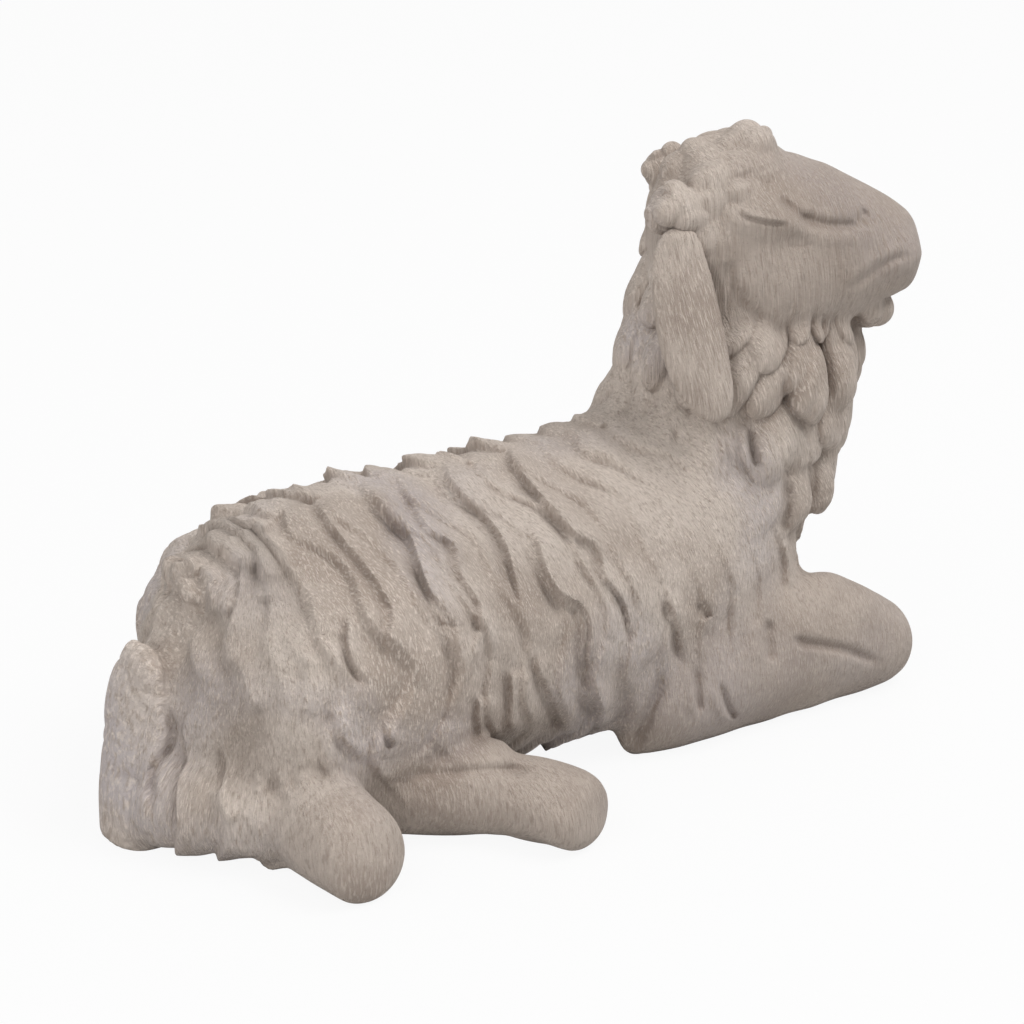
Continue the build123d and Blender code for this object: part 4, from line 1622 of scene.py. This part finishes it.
def give(piece: bpy.types.Object, name: str, values: Array) -> None:
    """Stores a number, or three, at each vertex of a mesh."""
    kind, slot = ("FLOAT", "value") if values.ndim == 1 else ("FLOAT_VECTOR", "vector")
    attribute = piece.data.attributes.new(name, kind, "POINT")
    attribute.data.foreach_set(slot, values.astype(np.float32).ravel())


# Shaders

def linear(colour: tuple[int, int, int]) -> tuple[float, float, float, float]:
    """A shader colour from a screen colour of 0 to 255, by the sRGB curve."""
    share = np.array(colour) / 255
    value = np.where(share < 0.04045, share / 12.92, ((share + 0.055) / 1.055) ** 2.4)
    return (*value.tolist(), 1.0)


class Value:
    """A number's socket, with the operators + and * as Math nodes."""

    def __init__(self, graph: "Graph", socket: bpy.types.NodeSocket) -> None:
        """Wraps a socket of a graph."""
        self.graph = graph
        self.socket = socket

    def math(self, operation: str, *values: object) -> "Value":
        """A Math node on some values."""
        node = self.graph.node("ShaderNodeMath", {"operation": operation}, dict(enumerate(values)))
        return Value(self.graph, node.outputs[0])

    def __add__(self, other: object) -> "Value":
        """The sum."""
        return self.math("ADD", self, other)

    def __radd__(self, other: object) -> "Value":
        """The sum, with this value second."""
        return self.math("ADD", other, self)

    def __mul__(self, other: object) -> "Value":
        """The product."""
        return self.math("MULTIPLY", self, other)

    def __rmul__(self, other: object) -> "Value":
        """The product, with this value second."""
        return self.math("MULTIPLY", other, self)


class Graph:
    """A material's nodes."""

    def __init__(self, name: str) -> None:
        """Makes an empty material."""
        self.material = bpy.data.materials.new(name)
        self.material.use_nodes = True
        self.tree = self.material.node_tree
        self.tree.nodes.clear()

    def node(self, kind: str, settings: dict[str, object] | None = None,
             sockets: dict[object, object] | None = None) -> bpy.types.Node:
        """Adds a node.

        Args:
            kind: the node's type.
            settings: its settings; "stops" are a ramp's places and colours.
            sockets: values or links of its inputs, by name or number.

        Returns:
            The node.
        """
        node = self.tree.nodes.new(kind)
        for name, value in (settings or {}).items():
            if name == "stops":
                for index, (place, colour) in enumerate(value):
                    elements = node.color_ramp.elements
                    stop = elements[index] if index < 2 else elements.new(place)
                    stop.position = place
                    stop.color = colour
            else:
                setattr(node, name, value)
        for name, value in (sockets or {}).items():
            value = value.socket if isinstance(value, Value) else value
            if isinstance(value, bpy.types.NodeSocket):
                self.tree.links.new(value, node.inputs[name])
            else:
                node.inputs[name].default_value = value
        return node

    def mix(self, share: object, first: object, second: object) -> bpy.types.NodeSocket:
        """A colour between two colours, by the Mix node's sockets for colours."""
        node = self.node("ShaderNodeMix", {"data_type": "RGBA"}, {0: share, 6: first, 7: second})
        return node.outputs[2]

    def noise(self, place: object, scale: float, detail: float = 2.0, roughness: float = 0.5) -> Value:
        """A noise of about 0 to 1 at a place."""
        node = self.node("ShaderNodeTexNoise", None,
                         {"Vector": place, "Scale": scale, "Detail": detail, "Roughness": roughness})
        return Value(self, node.outputs["Fac"])

    def stretched(self, place: object, scale: tuple[float, float, float]) -> bpy.types.NodeSocket:
        """A place with its axes scaled."""
        node = self.node("ShaderNodeVectorMath", {"operation": "MULTIPLY"}, {0: place, 1: scale})
        return node.outputs[0]

    def attribute(self, name: str) -> bpy.types.Node:
        """A node that reads what give() stored on the mesh."""
        return self.node("ShaderNodeAttribute", {"attribute_name": name})

    def spread(self, value: Value, low: float, high: float) -> Value:
        """A value's share of the way from low to high, kept from 0 to 1."""
        node = self.node("ShaderNodeMapRange", None, {"Value": value, "From Min": low, "From Max": high})
        return Value(self, node.outputs[0])


@dataclass(frozen=True)
class Wood:
    """Bare carved wood, weathered grey-brown, with a nap of raised fibres, darker warm painted shade in its
    cuts and recesses, and painted shade on the face and limbs.
    """

    name: str
    light: tuple[int, int, int]
    cool: tuple[int, int, int]
    shade: tuple[int, int, int]
    deep: tuple[int, int, int]
    nap: float
    grain: float
    carved: bool
    nap_depth: float = 0.0007
    # The colour of the painted shade on the face and limbs
    face_limb_shade_colour: tuple[int, int, int] = (150, 135, 124)
    pale_lift: int = 22
    cool_share: float = 0.75
    pale_share: float = 0.9
    speck_share: float = 0.35
    # Painted shade: how far the face and limbs are mixed towards its colour
    face_limb_shade_share: float = 0.55
    # Painted shade: how far cuts and recesses are mixed towards the deep colour
    hollow_shade_share: float = 0.36
    fibre_scale: tuple[float, float, float] = (2.6, 0.55, 1.0)
    thread_scale: tuple[float, float, float] = (5.5, 0.9, 1.0)

    def dress(self) -> bpy.types.Material:
        """The wood's material."""
        graph = Graph(self.name)
        place = graph.node("ShaderNodeTexCoord").outputs["Object"]
        if self.carved:
            strand = graph.attribute("strand").outputs["Vector"]
        else:
            strand = graph.stretched(place, (1 / MM, 1 / MM, 1 / MM))
        patches = graph.noise(place, scale=55.0)
        tint = graph.noise(place, scale=38.0, detail=1.0)
        fibres = graph.noise(graph.stretched(strand, self.fibre_scale), 1.0, detail=4.0, roughness=0.62)
        threads = graph.noise(graph.stretched(strand, self.thread_scale), 1.0, detail=3.0, roughness=0.6)
        fuzz = graph.noise(place, scale=900.0, detail=5.0, roughness=0.72)
        pores = graph.noise(place, scale=2600.0, detail=1.0)

        pale_light = tuple(min(255, part + self.pale_lift) for part in self.light)
        colour = graph.mix(graph.spread(patches, 0.42, 0.66), linear(self.light), linear(self.shade))
        colour = graph.mix(graph.spread(tint, 0.52, 0.72) * self.cool_share, colour, linear(self.cool))
        colour = graph.mix(graph.spread(fibres, 0.48, 0.66) * self.grain, colour, linear(self.shade))
        pale = graph.spread(threads, 0.50, 0.70) * (self.pale_share * self.grain)
        colour = graph.mix(pale, colour, linear(pale_light))
        colour = graph.mix(graph.spread(pores, 0.66, 0.78) * self.speck_share, colour, linear(self.deep))
        if self.carved:
            # Painted shade: the face, and the limbs by a share, are darkened towards a darker colour
            face_limb_shade = Value(graph, graph.attribute("face_limb_shade").outputs["Fac"])
            colour = graph.mix(face_limb_shade * self.face_limb_shade_share, colour, linear(self.face_limb_shade_colour))
            # Painted shade: cuts and recesses are darkened towards the deep colour by how sunk they are
            hollow_shade = graph.spread(Value(graph, graph.attribute("hollow_shade").outputs["Fac"]), 0.12, 0.95)
            colour = graph.mix(hollow_shade * self.hollow_shade_share, colour, linear(self.deep))
        relief = fibres * 0.9 + threads * 0.7 + fuzz * 0.7
        bump = graph.node("ShaderNodeBump", None, {
            "Strength": self.nap,
            "Distance": self.nap_depth,
            "Height": relief,
        })
        shader = graph.node("ShaderNodeBsdfPrincipled", None, {
            "Base Color": colour,
            "Roughness": graph.spread(fuzz, 0.0, 1.0) * 0.12 + 0.78,
            "Normal": bump.outputs[0],
            "Specular IOR Level": 0.18,
            "Sheen Weight": 0.12,
            "Sheen Roughness": 0.6,
        })
        graph.node("ShaderNodeOutputMaterial", None, {"Surface": shader.outputs[0]})
        return graph.material


FLEECE = Wood("fleece_wood", light=(203, 190, 179), cool=(190, 181, 182), shade=(170, 155, 143),
              deep=(104, 85, 73), nap=0.95, grain=0.95, carved=True)
SMOOTH = Wood("smooth_wood", light=(188, 175, 164), cool=(178, 168, 166), shade=(154, 140, 129),
              deep=(104, 86, 75), nap=0.75, grain=0.85, carved=True)
DOWEL = Wood("dowel_wood", light=(205, 178, 142), cool=(198, 172, 138), shade=(182, 150, 112),
             deep=(120, 90, 62), nap=0.25, grain=0.50, carved=False)


# The studio

@dataclass(frozen=True)
class Lamp:
    """A square soft lamp that points at the object."""

    name: str
    azimuth: float
    elevation: float
    distance: float
    size: float
    power: float

    def light(self, target: Vector) -> None:
        """Puts the lamp in the scene, by its direction from the target."""
        a, e = np.radians(self.azimuth), np.radians(self.elevation)
        back = Vector((np.sin(a) * np.cos(e), -np.cos(a) * np.cos(e), np.sin(e)))
        data = bpy.data.lights.new(self.name, "AREA")
        data.size = self.size
        data.energy = self.power
        lamp = bpy.data.objects.new(self.name, data)
        lamp.location = target + back * self.distance
        lamp.rotation_mode = "QUATERNION"
        lamp.rotation_quaternion = (-back).to_track_quat("-Z", "Y")
        bpy.context.scene.collection.objects.link(lamp)


@dataclass(frozen=True)
class Studio:
    """A pale floor, soft lamps, a plain white surround and the photograph's camera."""

    floor_size: float = 3.0
    card: float = 0.60
    whiteness: float = 0.92
    ambient: float = 0.50
    target: tuple[float, float, float] = (0.01, -0.005, 0.045)
    lamps: tuple[Lamp, ...] = (
        Lamp("key", azimuth=42.0, elevation=58.0, distance=0.9, size=0.5, power=5.6),
        Lamp("fill", azimuth=-65.0, elevation=38.0, distance=1.0, size=1.0, power=4.0),
        Lamp("rim", azimuth=150.0, elevation=50.0, distance=1.0, size=0.8, power=1.6),
    )

    def build(self) -> None:
        """Sets the stage."""
        for lamp in self.lamps:
            lamp.light(Vector(self.target))
        self.floor()
        self.surround()
        self.camera()
        bpy.context.scene.view_settings.view_transform = "Standard"

    def floor(self) -> None:
        """A flat floor that is lit like pale card, and nearly white to the camera."""
        half = self.floor_size / 2
        mesh = bpy.data.meshes.new("floor")
        corners = [(-half, -half, 0), (half, -half, 0), (half, half, 0), (-half, half, 0)]
        mesh.from_pydata(corners, [], [(0, 1, 2, 3)])
        graph = Graph("pale_card")
        card = graph.node("ShaderNodeBsdfDiffuse", None, {"Color": (self.card, self.card, self.card, 1.0)})
        glow = graph.node("ShaderNodeEmission", None, {"Color": (1.0, 1.0, 1.0, 1.0), "Strength": 1.0})
        ray = Value(graph, graph.node("ShaderNodeLightPath").outputs["Is Camera Ray"])
        sockets = {0: ray * self.whiteness, 1: card.outputs[0], 2: glow.outputs[0]}
        mixed = graph.node("ShaderNodeMixShader", None, sockets)
        graph.node("ShaderNodeOutputMaterial", None, {"Surface": mixed.outputs[0]})
        mesh.materials.append(graph.material)
        floor = bpy.data.objects.new("floor", mesh)
        bpy.context.scene.collection.objects.link(floor)

    def surround(self) -> None:
        """A world that lights evenly and shows white to the camera."""
        world = bpy.data.worlds.new("surround")
        bpy.context.scene.world = world
        world.use_nodes = True
        tree = world.node_tree
        tree.nodes.clear()
        path = tree.nodes.new("ShaderNodeLightPath")
        even = tree.nodes.new("ShaderNodeBackground")
        even.inputs["Strength"].default_value = self.ambient
        white = tree.nodes.new("ShaderNodeBackground")
        mixed = tree.nodes.new("ShaderNodeMixShader")
        output = tree.nodes.new("ShaderNodeOutputWorld")
        for background in (even, white):
            background.inputs["Color"].default_value = (1.0, 1.0, 1.0, 1.0)
        tree.links.new(path.outputs["Is Camera Ray"], mixed.inputs[0])
        tree.links.new(even.outputs[0], mixed.inputs[1])
        tree.links.new(white.outputs[0], mixed.inputs[2])
        tree.links.new(mixed.outputs[0], output.inputs[0])

    def camera(self) -> None:
        """The photograph's camera."""
        data = bpy.data.cameras.new("photo_camera")
        data.lens = VIEW.lens
        data.sensor_width = VIEW.sensor
        data.clip_start = 0.01
        camera = bpy.data.objects.new("photo_camera", data)
        camera.location = Vector(VIEW.place) * MM
        camera.rotation_mode = "QUATERNION"
        camera.rotation_quaternion = Vector(-VIEW.back).to_track_quat("-Z", "Y")
        bpy.context.scene.collection.objects.link(camera)
        bpy.context.scene.camera = camera


# Building

# The carvers' cells: for the trunk, for most blocks, and for the head and ears
CELLS = (0.62, 0.45, 0.32)


@dataclass
class Workshop:
    """Carves each block of the sheep, dresses it and puts it in the frame.

    The trunk is carved coarsest and the head and ears finest, which keeps each mesh a moderate size. A block
    laps over its glue face and dips under its neighbour there, so that no joint shows.
    """

    sheep: Sheep
    trunk_carver: Carver
    carver: Carver
    fine_carver: Carver
    woods: dict[str, bpy.types.Material]
    proud: float = 8.0
    below: float = 1.3
    lap: float = 0.9
    dip: float = 0.3
    dip_start: float = -0.2

    def slot_of(self, node: str) -> str:
        """The material slot of a node: legs and ears are scraped smooth, and the rest is fleece."""
        smooth = ("foreleg", "hind_foot", "ear")
        return "smooth_wood" if node.endswith(smooth) else "fleece_wood"

    def space(self, node: str) -> tuple[Array, Array]:
        """The space to carve a node in: its CAD box and what may stand proud, from just under the floor."""
        low, high = np.array(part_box(node)) / MM
        low, high = low - self.proud, high + self.proud
        low[2] = max(low[2], -self.below)
        return low, high

    def strands(self, points: Array) -> Array:
        """Where points lie in the wood's fibres: across them, along them and to the left."""
        return np.stack([*self.sheep.trunk.wool_places(points), points[:, 1]], -1)

    def carve(self, node: str, distance: Callable[[Array], Array], carver: Carver) -> bpy.types.Object:
        """Carves one node's block and dresses it.

        Args:
            node: the node that the piece stands for.
            distance: the signed distance of its surface.
            carver: how finely it is carved.

        Returns:
            The piece.
        """
        low, high = self.space(node)
        vertices, quads = carver.carve(distance, low, high)
        vertices[:, 2] = np.maximum(vertices[:, 2], 0)
        piece = make_piece(f"carved_{node}", vertices, quads)
        normals = carver.normals(self.sheep.distance, vertices)
        # Painted shade for cuts and recesses, stored for the material
        give(piece, "hollow_shade", self.sheep.painted_hollow_shade(vertices, normals))
        give(piece, "strand", self.strands(vertices))
        # Painted shade for the face and limbs, none on the ears
        give(piece, "face_limb_shade", self.sheep.face_and_limb_shade(vertices) * (not node.endswith("ear")))
        slot = self.slot_of(node)
        piece.data.materials.append(self.woods[slot])
        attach(piece, "root")
        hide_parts(node)
        log.info("%s: %d vertices, %d faces", piece.name, len(vertices), len(quads))
        return piece

    def blocks(self) -> None:
        """The blocks of the body, each cut off at its glue faces."""
        special = {"head_block": self.fine_carver, "trunk_block": self.trunk_carver}
        for node, room in self.sheep.rooms().items():
            carver = special.get(node, self.carver)
            self.carve(node, lambda p, room=room: self.block_distance(p, room), carver)

    def block_distance(self, points: Array, room: Callable[[Array], Array]) -> Array:
        """How far points lie outside a block, whose edge laps and dips under its neighbour's."""
        beyond = room(points)
        sunk = self.sheep.distance(points) + self.dip * ease(beyond, self.dip_start, self.lap)
        return np.maximum(sunk, beyond - self.lap)

    def ears(self) -> None:
        """Both ears, cut off where they meet the head and neck."""
        head = self.sheep.head
        ear = self.sheep.ears.form(head)
        centre = np.array(head.centre)

        def right_ear(p: Array) -> Array:
            """The right ear, less the animal."""
            return np.maximum(ear.distance(p), -self.sheep.distance(p))

        def left_ear(p: Array) -> Array:
            """The same, mirrored over the head."""
            flipped = p - 2 * np.outer((p - centre) @ head.right, head.right)
            return np.maximum(ear.distance(flipped), -self.sheep.distance(p))

        self.carve("right_ear", right_ear, self.fine_carver)
        self.carve("left_ear", left_ear, self.fine_carver)

    def dowels(self) -> None:
        """The dowels keep their CAD meshes and get their wood."""
        for name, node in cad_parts.items():
            if "dowel" in name:
                node.data.materials.clear()
                node.data.materials.append(self.woods["dowel_wood"])


def main() -> None:
    """Builds the sheep's pieces in order, then the studio."""
    logging.basicConfig(level=logging.INFO, format="%(message)s")
    coarse, cell, fine = CELLS
    woods = {wood.name: wood.dress() for wood in (FLEECE, SMOOTH, DOWEL)}
    workshop = Workshop(Sheep(), Carver(coarse), Carver(cell), Carver(fine), woods)
    workshop.blocks()
    workshop.ears()
    workshop.dowels()
    Studio().build()


if __name__ == "__main__":
    main()
